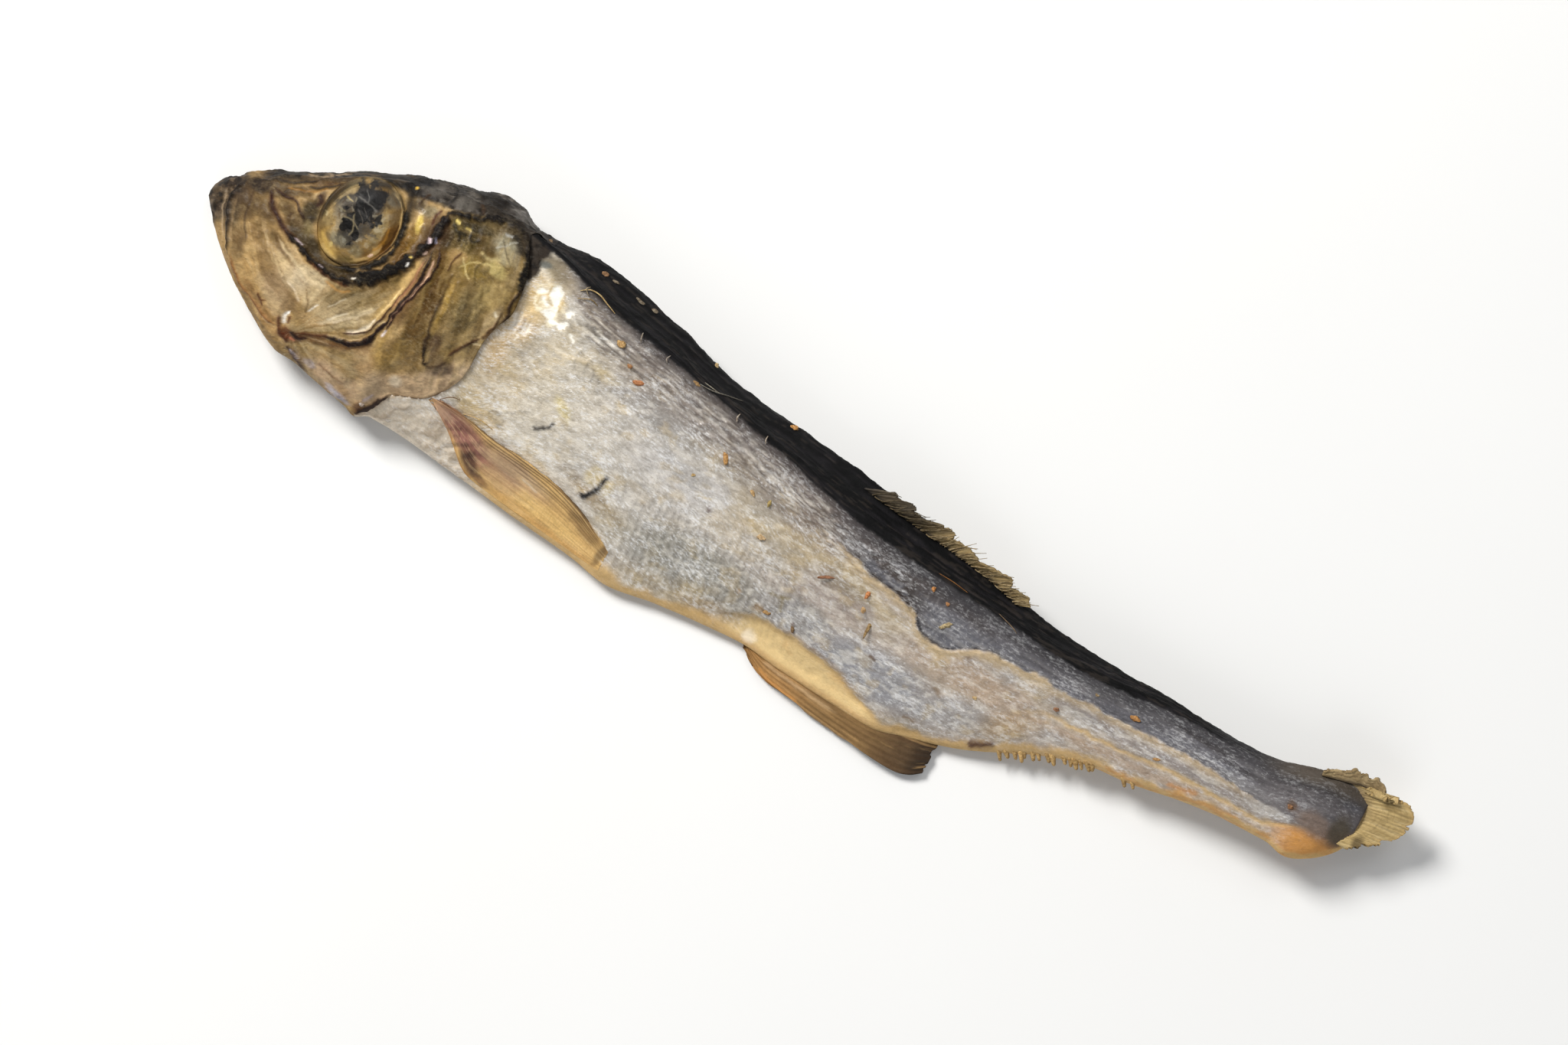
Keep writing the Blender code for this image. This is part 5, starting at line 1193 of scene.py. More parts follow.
fins = {
    "pectoral": {
        "top": [(32.5, -8.6), (35, -8.7), (37.4, -8.9), (40.3, -9.5), (44.7, -10), (48.8, -10.7),
                (52.4, -11.9), (55, -13.2), (57.5, -14.5)],
        "bottom": [(32.6, -8.8), (34.4, -10.1), (36, -11.3), (37.6, -12.8), (38.8, -13.9),
                   (40.3, -14.6), (44, -15.2), (50, -16), (54, -16.5), (57.4, -16.9)],
        "thickness": 0.35,
    },
    "pelvic": {
        "top": [(75.3, -15.6), (82, -16), (90, -16.6), (96, -15.6), (99.6, -15.2)],
        "bottom": [(75.8, -16.6), (77.5, -17.9), (79.2, -18.7), (82.5, -19.3), (89.7, -20.3),
                   (93, -20.8), (96.4, -21), (98.2, -20.6), (99.5, -19.7)],
        "thickness": 0.5, "height": 0.95,
    },
    "dorsal": {
        "root": [(79, 4.9), (86, 3.9), (91, 3.3), (96, 2.5), (99.8, 1.5)],
        "tips": [(83, 6.3), (89.5, 5.8), (93.5, 5.5), (96.5, 4.2), (100.4, 3.7), (102.4, 2.4)],
        "thickness": 0.3, "bristles": 60,
    },
    "anal": {"places": [105.6, 106.4, 107.1, 107.7, 108.4, 109, 109.7, 110.4, 111, 112,
                        112.7, 113.4, 114.1, 114.8, 115.5, 118.9, 119.9], "length": 0.65},
    "tail": {
        "roots": [(140.4, 1.8), (141.2, 0.4), (141.8, -1.6), (141.6, -3.6), (141.4, -5.2)],
        "tips": [(145.9, 1.9), (147.9, 2.5), (149.2, 1.7), (149.5, 0.3), (148.9, -1.3),
                 (147.8, -2.5), (146, -3.7), (144.4, -4.8)],
        "thickness": 0.45, "liftEnd": 143,
    },
    "lobe": {
        "root": [(138.2, 0.8), (141, 1.5), (143, 1.9), (145.3, 1.2)],
        "tips": [(138.1, 1.4), (140.4, 2.7), (142, 3.4), (144.6, 3.2), (145.7, 2)],
        "thickness": 0.4,
    },
}


def skinTree(obj):
    return BVHTree.FromPolygons(vertexPlaces(obj.data).tolist(),
                                [tuple(p.vertices) for p in obj.data.polygons])


def skinHeight(tree, s, h):  # z of the skin straight below each place, or nan beside the fish
    s, h = np.broadcast_arrays(np.asarray(s, float), np.asarray(h, float))
    found = np.full(s.shape, np.nan)
    for i, place in zip(np.ndindex(s.shape), toWorld(s, h, 0 * s + 40).reshape(-1, 3)):
        hit = tree.ray_cast(Vector(place), Vector((0, 0, -1)))[0]
        if hit:
            found[i] = (hit.z - low.z) / mm
    return found


def evenly(path, t):  # points at shares t of the curve's length
    line = catmull(path, 12)
    gone = np.concatenate([[0], np.cumsum(np.linalg.norm(np.diff(line, axis=0), axis=1))])
    return np.stack([np.interp(t, gone / gone[-1], line[:, k]) for k in (0, 1)], -1)


def between(top, bottom, v):  # s and h of places between two edges
    return (top * (1 - v)[:, None] + bottom * v[:, None]).T


def web(root, tips, reach):  # s and h of places between a web's root and its tips
    return (root + (tips - root) * reach[:, None]).T


def leaf(skin, s, h, z, along, across):  # a sheet's points and layers
    return np.stack([s, h, z], -1), skin.layers(np.stack([along, across, 0 * along], -1))


def tailMiddle(s):  # z of the flesh's middle, carried on past its end
    return 0.5 * thickAt(s) + lift(np.minimum(s, fins["tail"]["liftEnd"]))


def pectoral(u, v):
    fin = fins["pectoral"]
    s, h = between(evenly(fin["top"], u), evenly(fin["bottom"], u), v)
    skin = Skin(s, h, (216, 178, 116), 0.5, 0.0, wobble=0.12, seed=14)
    for row in (
        (37, -10.3, 5.0, 1.4, -22, (160, 118, 104), 0.9),
        (38.6, -11.2, 4.6, 1.5, -26, (130, 88, 80), 0.85),
        (43.5, -12.6, 3.0, 0.8, -16, (150, 112, 90), 0.7),
        (39.4, -13.0, 2.0, 0.9, -40, (76, 50, 46), 0.9),
        (41.2, -14.2, 1.3, 0.5, -10, (96, 66, 54), 0.8),
        (44.5, -11.6, 5.0, 1.3, -12, (170, 144, 118), 0.85),
        (43.4, -13.4, 2.8, 0.9, -14, (194, 160, 118), 0.7),
        (34.4, -9.4, 1.8, 0.5, -20, (186, 154, 130), 0.8),
        (47.2, -12.6, 2.4, 0.6, -14, (214, 176, 128), 0.6),
        (54.0, -13.4, 3.4, 0.9, -26, (150, 122, 80), 0.8),
        (50, -14.6, 5, 1.3, -12, (226, 188, 120), 0.7),
        (52, -16.0, 5, 0.5, -8, (206, 158, 94), 0.6), (46, -15.0, 5, 0.6, -8, (210, 164, 98), 0.6),
        (56.9, -15.0, 0.5, 2.0, -12, (104, 84, 58), 0.7),
    ):
        skin.patch(*row)
    threads = noise(u * 7, v * 26, 101, 3)
    skin.grain(threads, (0.25, 0.1, 0.6, (150, 112, 74)), (0.25, 0.1, 0.6, (226, 196, 146), 0.7))
    skin.height += 0.03 * threads
    for at, width, dark, start in (
        (0.015, 0.022, 0.9, 0.02), (0.075, 0.016, 0.75, 0.12), (0.135, 0.016, 0.7, 0.2),
        (0.195, 0.015, 0.6, 0.3), (0.26, 0.016, 0.5, 0.4), (0.34, 0.016, 0.3, 0.5),
        (0.44, 0.016, 0.16, 0.5), (0.56, 0.016, 0.12, 0.45), (0.70, 0.016, 0.1, 0.5),
        (0.84, 0.016, 0.1, 0.5),
    ):
        here = at + 0.01 * np.sin(u * 14 + at * 30)
        shown = ramp(u, start, start + 0.12) * (1 - 0.6 * ramp(u, 0.8, 1.0))
        skin.lay(dark * shown * bump(v - here, width), (84, 64, 46), 0.5)
        skin.height += 0.09 * dark * shown * bump(v - here - 0.032, 0.022)
    cross = np.sin(math.tau * s / 0.34 + 3 * noise(u * 3, v * 9, 102, 2))
    skin.lay(0.14 * ramp(u, 0.55, 0.7) * ramp(cross, 0, 1), (150, 112, 66))
    # painted highlight on the fin
    skin.stroke([(45.4, -11.9), (46.4, -12.1), (47.6, -12.4)], 0.16, "cream", 0.4, 0.04, gloss=1.0)
    skin.stroke([(35.2, -10.9), (37.0, -12.4), (38.6, -13.9), (40.4, -14.6)], 0.22,
                (170, 122, 70), 0.8)
    skin.lay(fade(v, 0.0, 0.03) * fade(u, 0.1, 0.2), (110, 80, 58))
    floor = skinHeight(trunkTree, s, h)
    floor = np.where(np.isnan(floor), 1.0, floor)
    free = fade(u, 0.26, 0.42)  # the front lower edge stands off the skin
    rise = 0.12 + 0.42 * fade(v, 0, 0.5) * (1 - 0.6 * ramp(u, 0.6, 1.0))
    rise += 0.38 * free * ramp(v, 0.3, 0.9)
    rise += 0.45 * bump(np.hypot((s - 38) / 3.4, (h + 11.6) / 1.7), 1)
    glued = 1 - 0.8 * ramp(v, 0.75, 1) * (1 - free)
    rise *= ramp(u, 0, 0.06) * (1 - 0.9 * ramp(u, 0.94, 1)) * glued
    z = floor + rise + skin.height
    return leaf(skin, s, h, z, u * 26, v * 5)


def pelvic(u, v):
    fin = fins["pelvic"]
    ragged = 1 - 0.012 * ramp(noise(v * 9, 0 * v, 111, 2), 0, 0.5) * ramp(u, 0.9, 1)
    s, h = between(evenly(fin["top"], u * ragged), evenly(fin["bottom"], u * ragged), v)
    skin = Skin(s, h, (132, 104, 66), 0.5, 0.0, wobble=0.1, seed=16)
    skin.lay(fade(s, 80, 87), (164, 124, 76))
    skin.lay(ramp(s, 90, 97), (84, 66, 46))
    # painted shadow over the fin's far end
    skin.lay(ramp(s, 96.5, 98.8), (42, 34, 26))
    threads = noise(u * 5, v * 12, 112, 4)
    skin.grain(threads, (0.3, 0.05, 0.6, (84, 60, 38)), (0.4, 0.1, 0.6, (178, 142, 94), 0.8))
    rays = 0.5 + 0.5 * np.cos(math.tau * (v * 7 + 0.15 * np.sin(u * 9)))
    skin.lay(0.18 * (1 - rays), (76, 54, 34))
    skin.height += 0.07 * rays + 0.05 * threads
    skin.stroke([(78, -17.0), (82, -17.7), (88, -18.4)], 0.25, (190, 160, 120), 0.6, 0.05,
                gloss=0.9)
    skin.stroke([(78, -17.9), (80, -18.7), (84, -19.4)], 0.2, (196, 140, 78), 0.6)
    fine = skin.height * (1 - 0.5 * ramp(u, 0.9, 1))
    z = fin["height"] - 0.15 * v + 0.25 * np.sin(u * 3.1) * v + fine
    return leaf(skin, s, h, z, u * 24, v * 4)


def dorsalWeb(u, v):
    fin = fins["dorsal"]
    root = evenly(fin["root"], u)
    length = 0.6 + 0.24 * noise(u * 15, 0 * u, 121, 4)
    s, h = web(root, evenly(fin["tips"], u), v * length)
    skin = Skin(s, h, (142, 124, 88), 0.3, 0.0, wobble=0.05, seed=18)
    streaks = noise(u * 60 + v * 3, v * 2.5, 122, 4)
    skin.grain(streaks, (0.45, 0.0, 0.6, (86, 70, 50)), (0.5, 0.1, 0.5, (158, 132, 88)))
    skin.lay(fade(v, 0.0, 0.35), "soot")
    skin.lay(fade(u, 0.2, 0.5) * 0.85, "soot")
    skin.height += 0.06 * streaks
    floor = skinHeight(trunkTree, root[:, 0], root[:, 1])
    z = floor + 0.05 + 0.75 * v**0.8 + skin.height * v
    return leaf(skin, s, h, z, v * 3, u * 22)


def tailFan(u, v):
    fin = fins["tail"]
    notch = 1 - 0.1 * ramp(noise(v * 11, 0 * v, 131, 4), 0.0, 0.6) * ramp(u, 0.55, 1)
    s, h = web(evenly(fin["roots"], v), evenly(fin["tips"], v), u * notch)
    skin = Skin(s, h, (186, 162, 112), 0.4, 0.0, wobble=0.05, seed=20)
    streaks = noise(u * 2.2, v * 34, 132, 4)
    skin.grain(streaks, (0.4, 0.05, 0.6, (128, 108, 70)), (0.4, 0.1, 0.5, (204, 184, 140)))
    rays = 0.5 + 0.5 * np.cos(math.tau * (v * 24 + 0.5 * noise(u * 2, v * 6, 133, 3)))
    skin.lay(0.22 * (1 - rays) * ramp(u, 0.2, 0.5), (104, 86, 54))
    skin.height += (0.05 * rays + 0.06 * streaks) * ramp(u, 0.1, 0.4)
    joints = np.sin(math.tau * u * 11 + 2 * noise(u * 2, v * 9, 134, 2))
    skin.lay(0.2 * ramp(joints, 0.6, 1) * ramp(u, 0.4, 0.6), (104, 82, 46))
    skin.lay(0.5 * ramp(u, 0.9, 1.0), (184, 152, 98))
    skin.lay(0.75 * fade(u, 0.25, 0.5), (116, 98, 74))
    skin.patch(145.2, -4.0, 0.8, 1.0, 0, (84, 70, 48), 0.8)
    skin.patch(146.6, 1.3, 1.2, 0.5, 0, (126, 106, 66), 0.6)
    wave = 0.45 * np.sin(v * 7 + 0.6) * u + 0.5 * u * (0.5 - v)
    z = tailMiddle(s) * fade(u, 0.2, 0.6) + 4.4 * ramp(u, 0.2, 0.6) + wave + 0.35 + skin.height
    return leaf(skin, s, h, z, u * 7, v * 7)


def tailLobe(u, v):
    fin = fins["lobe"]
    length = 0.86 + 0.2 * noise(u * 14, 0 * u, 141, 3)
    s, h = web(evenly(fin["root"], u), evenly(fin["tips"], u), v * length)
    skin = Skin(s, h, (146, 126, 92), 0.35, 0.0, wobble=0.05, seed=22)
    streaks = noise(u * 9 - v * 1.6, v * 9 + u * 2, 142, 4)
    skin.grain(streaks, (0.5, 0.0, 0.6, (110, 92, 66)), (0.5, 0.1, 0.5, (184, 164, 126)))
    skin.lay(0.85 * fade(v, 0.05, 0.4), (62, 52, 42))
    skin.height += 0.07 * streaks
    z = tailMiddle(s) + 0.75 + 0.3 * v + skin.height * v
    return leaf(skin, s, h, z, u * 8, v * 2)


# points and faces of a thin closed tube along 3-D points in mm, flattened by a share
def tube(path, radii, flat=1.0, sides=7):
    bm = bmesh.new()
    count = len(path)
    bmesh.ops.create_uvsphere(bm, u_segments=sides, v_segments=count + 1, radius=1)
    path, radii = np.asarray(path, float), np.asarray(radii, float)
    ahead = np.gradient(path, axis=0)
    ahead /= np.linalg.norm(ahead, axis=1, keepdims=True)
    across = np.cross(ahead, (0.02, 0.05, 1.0))
    across /= np.linalg.norm(across, axis=1, keepdims=True)
    above = np.cross(across, ahead)
    for vert in bm.verts:
        row = round(math.acos(max(-1, min(1, vert.co.z))) / math.pi * (count + 1))
        turn = math.atan2(vert.co.y, vert.co.x)
        i = min(max(row - 1, 0), count - 1)
        r = radii[i] if 1 <= row <= count else 0
        push = -radii[0] * 0.7 if row == 0 else radii[-1] * 0.7 if row > count else 0
        out = across[i] * math.cos(turn) + above[i] * math.sin(turn) * flat
        point = path[i] + ahead[i] * push + r * out
        vert.co = Vector(toWorld(*point))
    return bm


# one mesh from many small ones, each with its own colour
def gather(name, pieces):
    whole, colours = bmesh.new(), []
    for bm, colour in pieces:
        bmesh.ops.recalc_face_normals(bm, faces=bm.faces)
        part = newMesh("part", bm)
        whole.from_mesh(part)
        colours += [colour] * len(part.vertices)
        bpy.data.meshes.remove(part)
    mesh = newMesh(name, whole)
    colours = np.array(colours)
    flow = vertexPlaces(mesh) / mm
    flat = np.zeros(len(colours))
    addLayers(mesh, {"paint": colours, "gloss": flat + 0.3, "silver": flat, "flow": flow},
              slice(None))
    mesh.shade_smooth()
    return linked(name, mesh)


# a crumb: a ball squeezed to a size in mm, dented by noise
def lump(s, h, z, size, turn, seed):
    bm = bmesh.new()
    bmesh.ops.create_icosphere(bm, subdivisions=3, radius=1)
    draw = np.random.default_rng(seed).random(3) * 40
    a = math.radians(turn)
    for vert in bm.verts:
        x, y, up = vert.co
        dent = 1 + 0.45 * float(noise(np.array(x * 1.3 + draw[0]),
                                      np.array(y * 1.3 + up * 1.3 + draw[1]), seed, 3))
        x, y, up = x * dent * size[0] / 2, y * dent * size[1] / 2, up * dent * size[2] / 2
        vert.co = Vector(toWorld(s + x * math.cos(a) - y * math.sin(a),
                                 h + x * math.sin(a) + y * math.cos(a), z + up))
    return bm


def dorsalBristles():
    fin, draw = fins["dorsal"], np.random.default_rng(5)
    pieces = []
    for u in np.linspace(0.06, 0.99, fin["bristles"]):
        u = min(u + draw.normal() * 0.008, 0.995)
        root, tip = evenly(fin["root"], np.array([u]))[0], evenly(fin["tips"], np.array([u]))[0]
        tip = root + (tip - root) * draw.uniform(0.4, 0.85) + draw.normal(size=2) * 0.25
        floor = float(skinHeight(trunkTree, root[0], root[1]))
        t = np.linspace(0, 1, 6)
        sway = draw.normal() * 0.3
        path = np.stack([root[0] + (tip[0] - root[0]) * t,
                         root[1] + (tip[1] - root[1]) * t + sway * np.sin(3 * t),
                         floor + (0.25 + draw.uniform(0.6, 1.1) * t)], -1)
        shade = draw.uniform(0.75, 1.15)
        colour = linear((150, 132, 98)) * shade * (0.3 + 0.7 * float(ramp(u, 0.25, 0.5)))
        pieces.append((tube(path, 0.07 - 0.04 * t, 0.7), colour))
    return pieces


def analBristles():
    fin, draw = fins["anal"], np.random.default_rng(7)
    pieces = []
    for s in fin["places"]:
        s = s + draw.normal() * 0.12
        long = fin["length"] * draw.uniform(0.55, 1.15) * float(1 - 0.6 * ramp(s, 117, 122))
        start = np.array([s, ventralAt(s) + 0.5])
        lean = np.array([0.75 + draw.normal() * 0.15, -1.0])
        floor = float(skinHeight(trunkTree, s, ventralAt(s) + 0.3))
        t = np.linspace(0, 1, 5)
        path = np.column_stack([start + lean * (t * (long + 0.4))[:, None],
                                floor - 0.15 - 0.35 * t])
        pieces.append((tube(path, (0.42 - 0.22 * t) * draw.uniform(0.75, 1.1), 0.6),
                       linear((198, 164, 108)) * draw.uniform(0.75, 1.05)))
    return pieces


crumbs = [  # s, h, length, width, height, turn, colour
    (51.9, 3.5, 1.6, 0.55, 0.3, 20, (182, 108, 56)), (64, 0.8, 1.5, 0.5, 0.3, -64, (190, 138, 70)),
    (48.1, 6.3, 0.95, 0.85, 0.7, 10, (200, 160, 98)),
    (50.2, 4.6, 0.6, 0.4, 0.25, 0, (172, 116, 66)),
    (58.4, 9.1, 1, 0.55, 0.5, -70, (206, 180, 130)),
    (69, 7.2, 0.9, 0.55, 0.45, 10, (200, 140, 66)), (42.9, 12.2, 0.8, 0.7, 0.4, 0, (124, 82, 44)),
    (57.4, 6.4, 1, 0.4, 0.3, -5, (140, 104, 54)), (84.8, -5.1, 1.2, 0.5, 0.4, -80, (204, 122, 60)),
    (85.2, -6.7, 1.3, 0.5, 0.25, -75, (196, 160, 112)),
    (86.6, -8, 2.8, 0.36, 0.25, -86, (142, 112, 62)),
    (80.3, -5.4, 2.6, 0.36, 0.3, 28, (132, 72, 42)),
    (117.1, -3.3, 1.2, 0.65, 0.3, -8, (190, 132, 62)),
    (90.9, -1.2, 0.55, 0.5, 0.3, 0, (196, 124, 50)),
    (93, -1.9, 0.45, 0.45, 0.25, 0, (176, 116, 60)), (109, -6.4, 0.8, 0.6, 0.2, 0, (134, 80, 50)),
    (68.4, -1.2, 0.9, 0.4, 0.2, -50, (200, 164, 110)),
    (70.6, -1.3, 0.35, 0.9, 0.2, 0, (168, 146, 78)), (71.6, -5, 1.1, 1, 0.12, 30, (206, 176, 132)),
    (94.1, -4, 1.8, 0.5, 0.25, 42, (176, 160, 118)),
    (121.3, -6.1, 1, 0.4, 0.2, 20, (194, 146, 86)), (136.7, -3.8, 0.7, 0.6, 0.2, 0, (142, 90, 52)),
    (76, -12.1, 0.9, 0.5, 0.25, 30, (150, 108, 50)),
    (79.3, -12.3, 0.9, 0.35, 0.2, -60, (110, 80, 44)),
    (35.9, 12.6, 0.5, 0.4, 0.3, 0, (96, 74, 52)), (44.4, 12, 0.7, 0.3, 0.3, 0, (100, 92, 80)),
    (47.6, 11.4, 1.2, 0.5, 0.25, -8, (84, 80, 72)), (49.6, 11.2, 0.6, 0.5, 0.25, 0, (96, 90, 80)),
    (112.2, -3, 0.4, 0.3, 0.2, 0, (150, 130, 96)),
    (100.6, -9.6, 0.5, 0.4, 0.15, 0, (188, 160, 110)),
    (61.8, -2.6, 0.5, 0.3, 0.15, 30, (190, 160, 104)),
    (26, -12.9, 0.5, 0.5, 0.3, 0, (186, 176, 170)),
]
hairs = [  # path, thickness, height over the skin, colour
    ([(41.5, 9.3), (42.4, 9.9), (43.6, 9.9), (44.8, 9.4), (46, 8.9)], 0.16, 0.35, (186, 162, 112)),
    ([(42.6, 9.2), (42, 9.8), (42.3, 10.2)], 0.1, 0.4, (176, 160, 126)),
    ([(41.6, 8.4), (43, 9), (44, 8.7)], 0.12, 0.25, (150, 128, 84)),
    ([(57.8, 6.5), (59.4, 6.5), (61, 6.8), (62.8, 7.1)], 0.13, 0.3, (126, 122, 112)),
    ([(58.2, 6.9), (60.2, 6.6)], 0.1, 0.3, (150, 146, 130)),
    ([(49.7, 8.5), (49.8, 7.9), (50, 7.4)], 0.16, 0.3, (150, 140, 126)),
    ([(53.5, 7.7), (53.3, 7.2), (53.6, 6.8)], 0.13, 0.3, (160, 150, 138)),
    ([(63.2, 5.7), (63.1, 5.2), (63.3, 4.7)], 0.16, 0.3, (176, 164, 148)),
    ([(67, 5), (67, 4.5), (67.2, 4.1)], 0.15, 0.3, (176, 164, 148)),
    ([(90.6, 0.6), (92.4, 0.5), (94.4, 0.2)], 0.1, 0.15, (140, 96, 50)),
    ([(98.5, -0.2), (100.4, -0.8), (101.2, -1.2)], 0.1, 0.2, (130, 110, 84)),
    ([(36.4, -8.6), (38.2, -8.3), (40, -8.6)], 0.1, 0.2, (196, 164, 104)),
    ([(33.4, -8.4), (34.4, -7.6), (35.4, -7.4)], 0.12, 0.25, (120, 92, 62)),
]


def smallThings():
    pieces = []
    for seed, (s, h, long, wide, tall, turn, colour) in enumerate(crumbs):
        floor = float(skinHeight(bothTree, s, h))
        pieces.append((lump(s, h, floor + 0.1 * tall, (long, wide, 0.7 * tall), turn, seed),
                       0.75 * linear(colour) + 0.25 * linear((176, 156, 124))))
    return pieces


def fineHairs():
    pieces = []
    for path, thick, over, colour in hairs:
        line = catmull(path, 5)
        t = np.linspace(0, 1, len(line))
        floor = skinHeight(bothTree, line[:, 0], line[:, 1])
        z = floor + over * np.sin(math.pi * t) + 0.04
        pieces.append((tube(np.column_stack([line, z]),
                            thick / 2 * (0.5 + 0.5 * np.sin(math.pi * t)), 0.7), linear(colour)))
    return pieces


# a node's output: + - * of it with numbers or others add Math nodes
class Socket:
    def __init__(self, finish, output):
        self.finish, self.output = finish, output

    def math(self, operation, *values):
        return self.finish.node("ShaderNodeMath", {"operation": operation},
                                dict(enumerate(values)))

    def __add__(self, other):
        return self.math("ADD", self, other)

    def __sub__(self, other):
        return self.math("SUBTRACT", self, other)

    def __rsub__(self, other):
        return self.math("SUBTRACT", other, self)

    def __mul__(self, other):
        return self.math("MULTIPLY", self, other)

    __radd__, __rmul__ = __add__, __mul__


# one material and the nodes in it
class Finish:
    def __init__(self, name, **constants):
        self.material = bpy.data.materials.new(name)
        self.material.use_nodes = True
        self.tree = self.material.node_tree
        self.tree.nodes.clear()
        self.surface = self.tree.nodes.new("ShaderNodeBsdfPrincipled")
        out = self.tree.nodes.new("ShaderNodeOutputMaterial")
        self.tree.links.new(self.surface.outputs[0], out.inputs[0])
        self.shade(**constants)

    def feed(self, node, values):
        for key, value in values.items():
            socket = node.inputs[key]
            if isinstance(value, Socket):
                self.tree.links.new(value.output, socket)
            elif socket.type == "RGBA":
                socket.default_value = (*value, 1)
            else:
                socket.default_value = value

    def node(self, kind, settings=None, values=None, output=0):
        node = self.tree.nodes.new(kind)
        for key, value in (settings or {}).items():
            setattr(node, key, value)
        self.feed(node, values or {})
        return Socket(self, node.outputs[output])

    def shade(self, **values):
        self.feed(self.surface, {key.replace("_", " "): value for key, value in values.items()})
        return self.material

    def mix(self, factor, a, b, blend="MIX"):
        settings = {"data_type": "RGBA", "blend_type": blend}
        return self.node("ShaderNodeMix", settings, {"Factor": factor, 6: a, 7: b}, output=2)

    def smooth(self, value, start, end, low=0.0, high=1.0):
        return self.node("ShaderNodeMapRange", {"interpolation_type": "SMOOTHSTEP"}, {
            "Value": value, "From Min": start, "From Max": end, "To Min": low, "To Max": high})

    def attribute(self, name, output="Fac"):
        return self.node("ShaderNodeAttribute", {"attribute_name": name}, output=output)

    def noise(self, where, stretch, detail=3.0, roughness=0.55, distortion=0.0):
        scaled = self.node("ShaderNodeVectorMath", {"operation": "MULTIPLY"},
                           {0: where, 1: tuple(1 / x for x in stretch)})
        values = {"Vector": scaled, "Scale": 1.0, "Detail": detail, "Roughness": roughness,
                  "Distortion": distortion}
        return self.node("ShaderNodeTexNoise", {"noise_dimensions": "3D"}, values)

    def bump(self, height, distance):
        return self.node("ShaderNodeBump", {}, {"Height": height, "Distance": distance * mm})


# dried skin: painted by its layers, with threads, grain, painted glints and painted shade beside
# them along its flow, in mm
def skinFinish(name, along, across, relief, glints=1.0, contrast=1.0, shine=(0.93, 0.93, 0.93),
               calm=1.0):
    f = Finish(name, IOR=1.45, Specular_IOR_Level=0.16, Coat_Roughness=0.26, Coat_IOR=1.45)
    paint, gloss = f.attribute("paint", "Color"), f.attribute("gloss")
    silver, flow = f.attribute("silver"), f.attribute("flow", "Vector")
    threads = f.noise(flow, (along, across, 1), 4, 0.62, 0.5)
    cloud = f.noise(flow, (3.4, 2.4, 1), 3, 0.55)
    grain = f.noise(flow, (0.34, 0.24, 1), 3, 0.7)
    fleck = f.noise(flow, (1.1, 0.8, 1), 3, 0.6, 0.4)
    both = threads + (grain - 0.5) * 0.45
    spark = f.noise(flow, (along * 0.62, across * 0.7, 0.5), 4, 0.72, 0.25)
    shoal = f.noise(flow, (5, 2.6, 1), 3, 0.6)
    # painted glints: bright specks mixed into the base colour, and painted shade darkening the
    # skin beside them
    glint = f.smooth(spark + (shoal - 0.5) * 0.5, 0.48, 0.74) * silver * glints
    glintShade = f.smooth(spark + (shoal - 0.5) * 0.3, 0.46, 0.32) * silver * glints
    pit = f.smooth(both, 0.44, 0.30)
    grit = contrast * f.smooth(silver, 0.0, 0.3, calm, 1.0)  # calmer where the skin isn't silver
    tone = f.mix(f.smooth(grain * 0.55 + fleck * 0.45, 0.34, 0.66), (0.62, 0.58, 0.52),
                 (1.30, 1.30, 1.30))
    colour = f.mix(grit, paint, tone, "MULTIPLY")
    colour = f.mix(f.smooth(cloud, 0.35, 0.72) * (grit * 0.3), colour, (0.80, 0.77, 0.72),
                   "MULTIPLY")
    colour = f.mix(pit * grit * 0.5, colour, (0.40, 0.38, 0.35), "MULTIPLY")
    colour = f.mix(glintShade * 0.6, colour, (0.60, 0.58, 0.56), "MULTIPLY")
    colour = f.mix(glint * 0.85, colour, shine)
    rough = 0.74 - gloss * 0.26 - glint * 0.15
    return f.shade(Base_Color=colour, Roughness=rough, Metallic=silver * 0.3,
                   Coat_Weight=gloss * gloss * gloss * 0.35,
                   Normal=f.bump(threads * 0.45 + grain * 0.55, relief))


def crumbFinish(name):
    f = Finish(name, IOR=1.45, Specular_IOR_Level=0.3)
    paint, flow = f.attribute("paint", "Color"), f.attribute("flow", "Vector")
    grain = f.noise(flow, (0.25, 0.25, 0.25), 3)
    colour = f.mix(f.smooth(grain, 0.4, 0.6), f.mix(0.55, paint, (0.3, 0.2, 0.1), "MULTIPLY"),
                   paint)
    return f.shade(Base_Color=colour, Roughness=0.75 - grain * 0.3, Normal=f.bump(grain, 0.15))


def finishPiece(obj, material, replaces=()):
    obj.data.materials.append(material)
    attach(obj, "root")
    if replaces:
        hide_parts(*replaces)
    print(obj.name + ":", len(obj.data.polygons), "faces")


trunkSkin = shell("trunk", trunk["rows"], ringPlaces(trunk["parts"]), trunkPoints)
finishPiece(trunkSkin, skinFinish("trunk skin", 0.9, 0.34, 0.12, 1.0, 0.34, calm=0.45),
            ["herring"])
headSkin = shell("head", head["rows"], ringPlaces(head["parts"]), headPoints)
finishPiece(headSkin, skinFinish("head skin", 0.7, 0.3, 0.12, 0.55, 0.4, (0.62, 0.50, 0.30)))
trunkTree, headTree = skinTree(trunkSkin), skinTree(headSkin)


class Nearest:  # of two skins the one on top
    def ray_cast(self, start, way):
        hits = [tree.ray_cast(start, way) for tree in (trunkTree, headTree)]
        return max(hits, key=lambda hit: hit[0].z if hit[0] else -1)


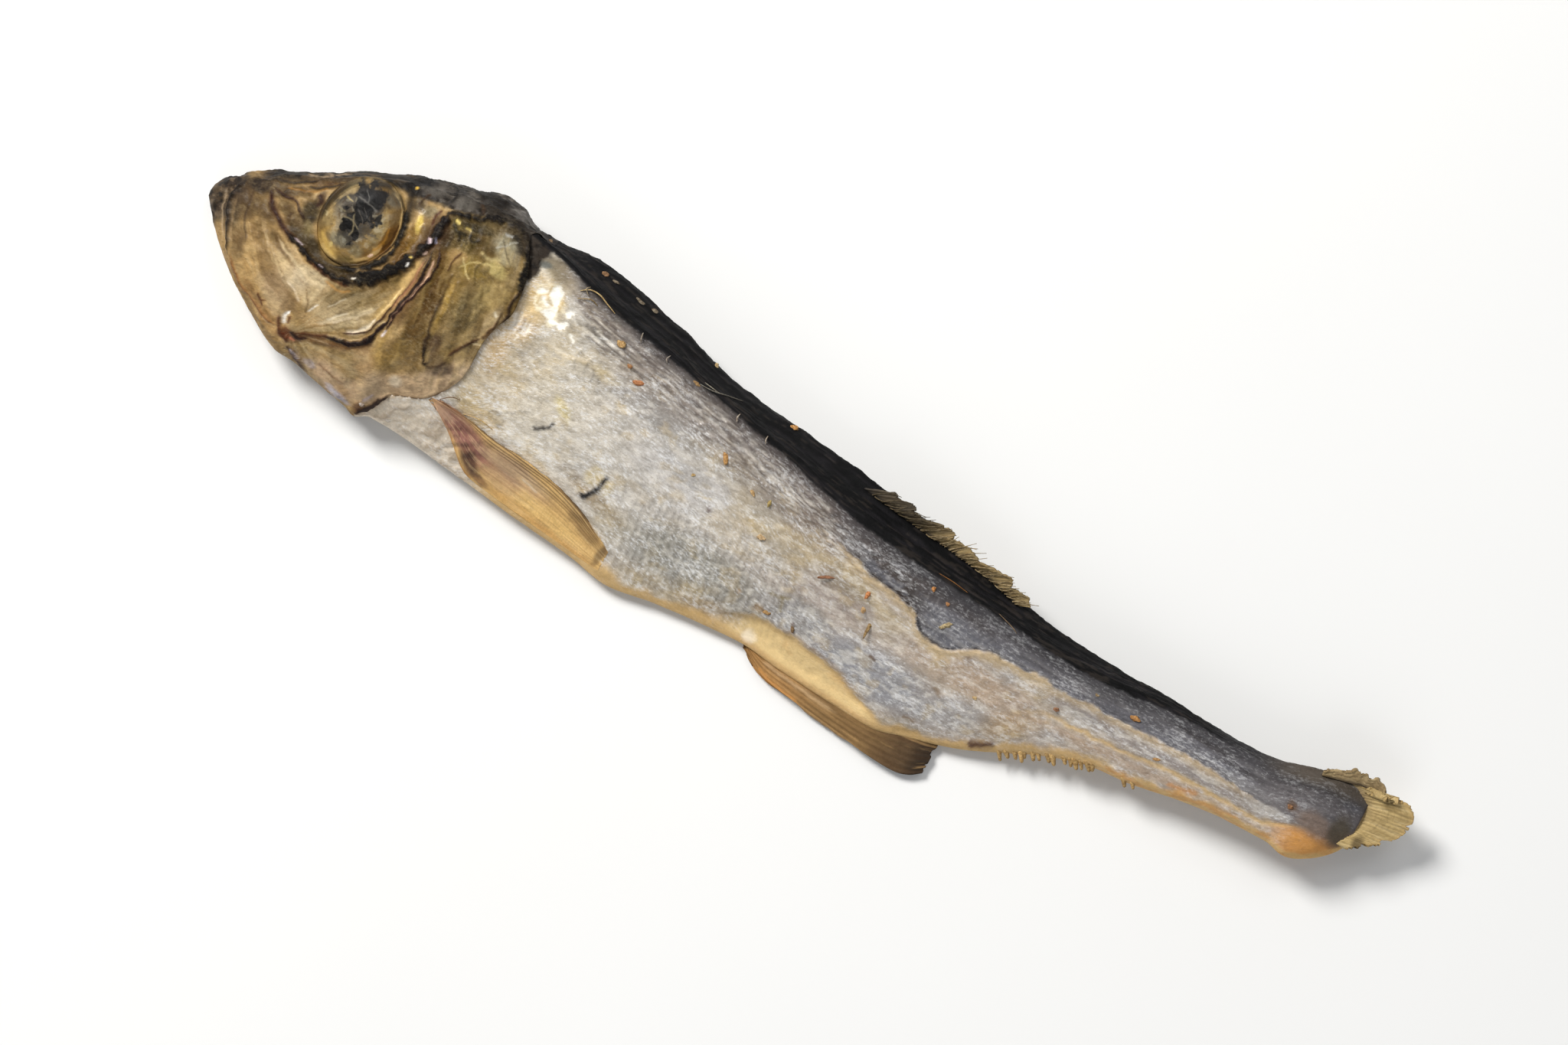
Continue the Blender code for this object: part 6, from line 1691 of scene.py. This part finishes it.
bothTree = Nearest()
finishPiece(shell("eye", 110, np.arange(200) / 200, eyePoints),
            skinFinish("eye skin", 0.5, 0.4, 0.08, 0.0, 0.4))
finFinish = skinFinish("fin skin", 2.4, 0.16, 0.06, 0.0, 0.35)
for name, size, fin, position in (
    ("pectoral_fin", (220, 90), "pectoral", pectoral), ("pelvic_fin", (200, 60), "pelvic", pelvic),
    ("dorsal_fin", (320, 18), "dorsal", dorsalWeb), ("tail_fan", (70, 180), "tail", tailFan),
    ("tail_lobe", (140, 24), "lobe", tailLobe),
):
    finishPiece(sheet(name, size, fins[fin]["thickness"], position), finFinish)
crumb = crumbFinish("crumb")
for name, pieces in (("fin_bristles", dorsalBristles() + analBristles()),
                     ("crumbs", smallThings()), ("hairs", fineHairs())):
    finishPiece(gather(name, pieces), crumb)


studio = {
    "centre": (73.0, -2.5), "height": 6, "width": 172.0, "roll": 28.15, "lens": 180.0,
    "floor": 1.6, "sky": 0.24,
}


def addFloor():
    bm = bmesh.new()
    bmesh.ops.create_grid(bm, x_segments=1, y_segments=1, size=studio["floor"])
    obj = linked("floor", newMesh("floor", bm))
    f = Finish("floor paper", Roughness=0.9)
    cloud = f.noise(f.node("ShaderNodeTexCoord", output="Object"), (0.06, 0.06, 0.06), 2)
    paper = f.mix(cloud, (0.80, 0.80, 0.79), (0.83, 0.83, 0.82))
    obj.data.materials.append(f.shade(Base_Color=paper))


def addLight(name, place, size, power, colour=(1, 1, 1)):
    data = bpy.data.lights.new(name, "AREA")
    data.shape, data.size, data.energy, data.color = "DISK", size, power, colour
    obj = linked(name, data)
    obj.location = place
    obj.rotation_euler = (Vector((0, 0, 0)) - obj.location).to_track_quat("-Z", "Y").to_euler()


def addCamera():
    data = bpy.data.cameras.new("camera")
    data.lens = studio["lens"]
    distance = studio["width"] * mm * data.lens / data.sensor_width
    obj = linked("camera", data)
    s, h = studio["centre"]
    obj.location = Vector(toWorld(s, h, studio["height"])) + Vector((0, 0, distance))
    obj.rotation_euler = (0, 0, math.radians(studio["roll"]))
    data.clip_start, data.clip_end = 0.01, 10
    bpy.context.scene.camera = obj


addFloor()
addLight("key from the upper left", (-0.55, 0.26, 0.55), 0.30, 8.2, (1, 0.985, 0.96))
addLight("soft top", (0.12, 0.62, 0.7), 0.5, 1.3)
addLight("fill from below", (0.3, -0.6, 0.45), 0.6, 1.6, (0.97, 0.98, 1))
addCamera()
world = bpy.data.worlds.new("studio")
world.use_nodes = True
world.node_tree.nodes["Background"].inputs["Color"].default_value = (0.95, 0.97, 1, 1)
world.node_tree.nodes["Background"].inputs["Strength"].default_value = studio["sky"]
scene = bpy.context.scene
scene.world = world
scene.view_settings.view_transform = "Standard"
print("studio: camera frames %.0f mm" % studio["width"])
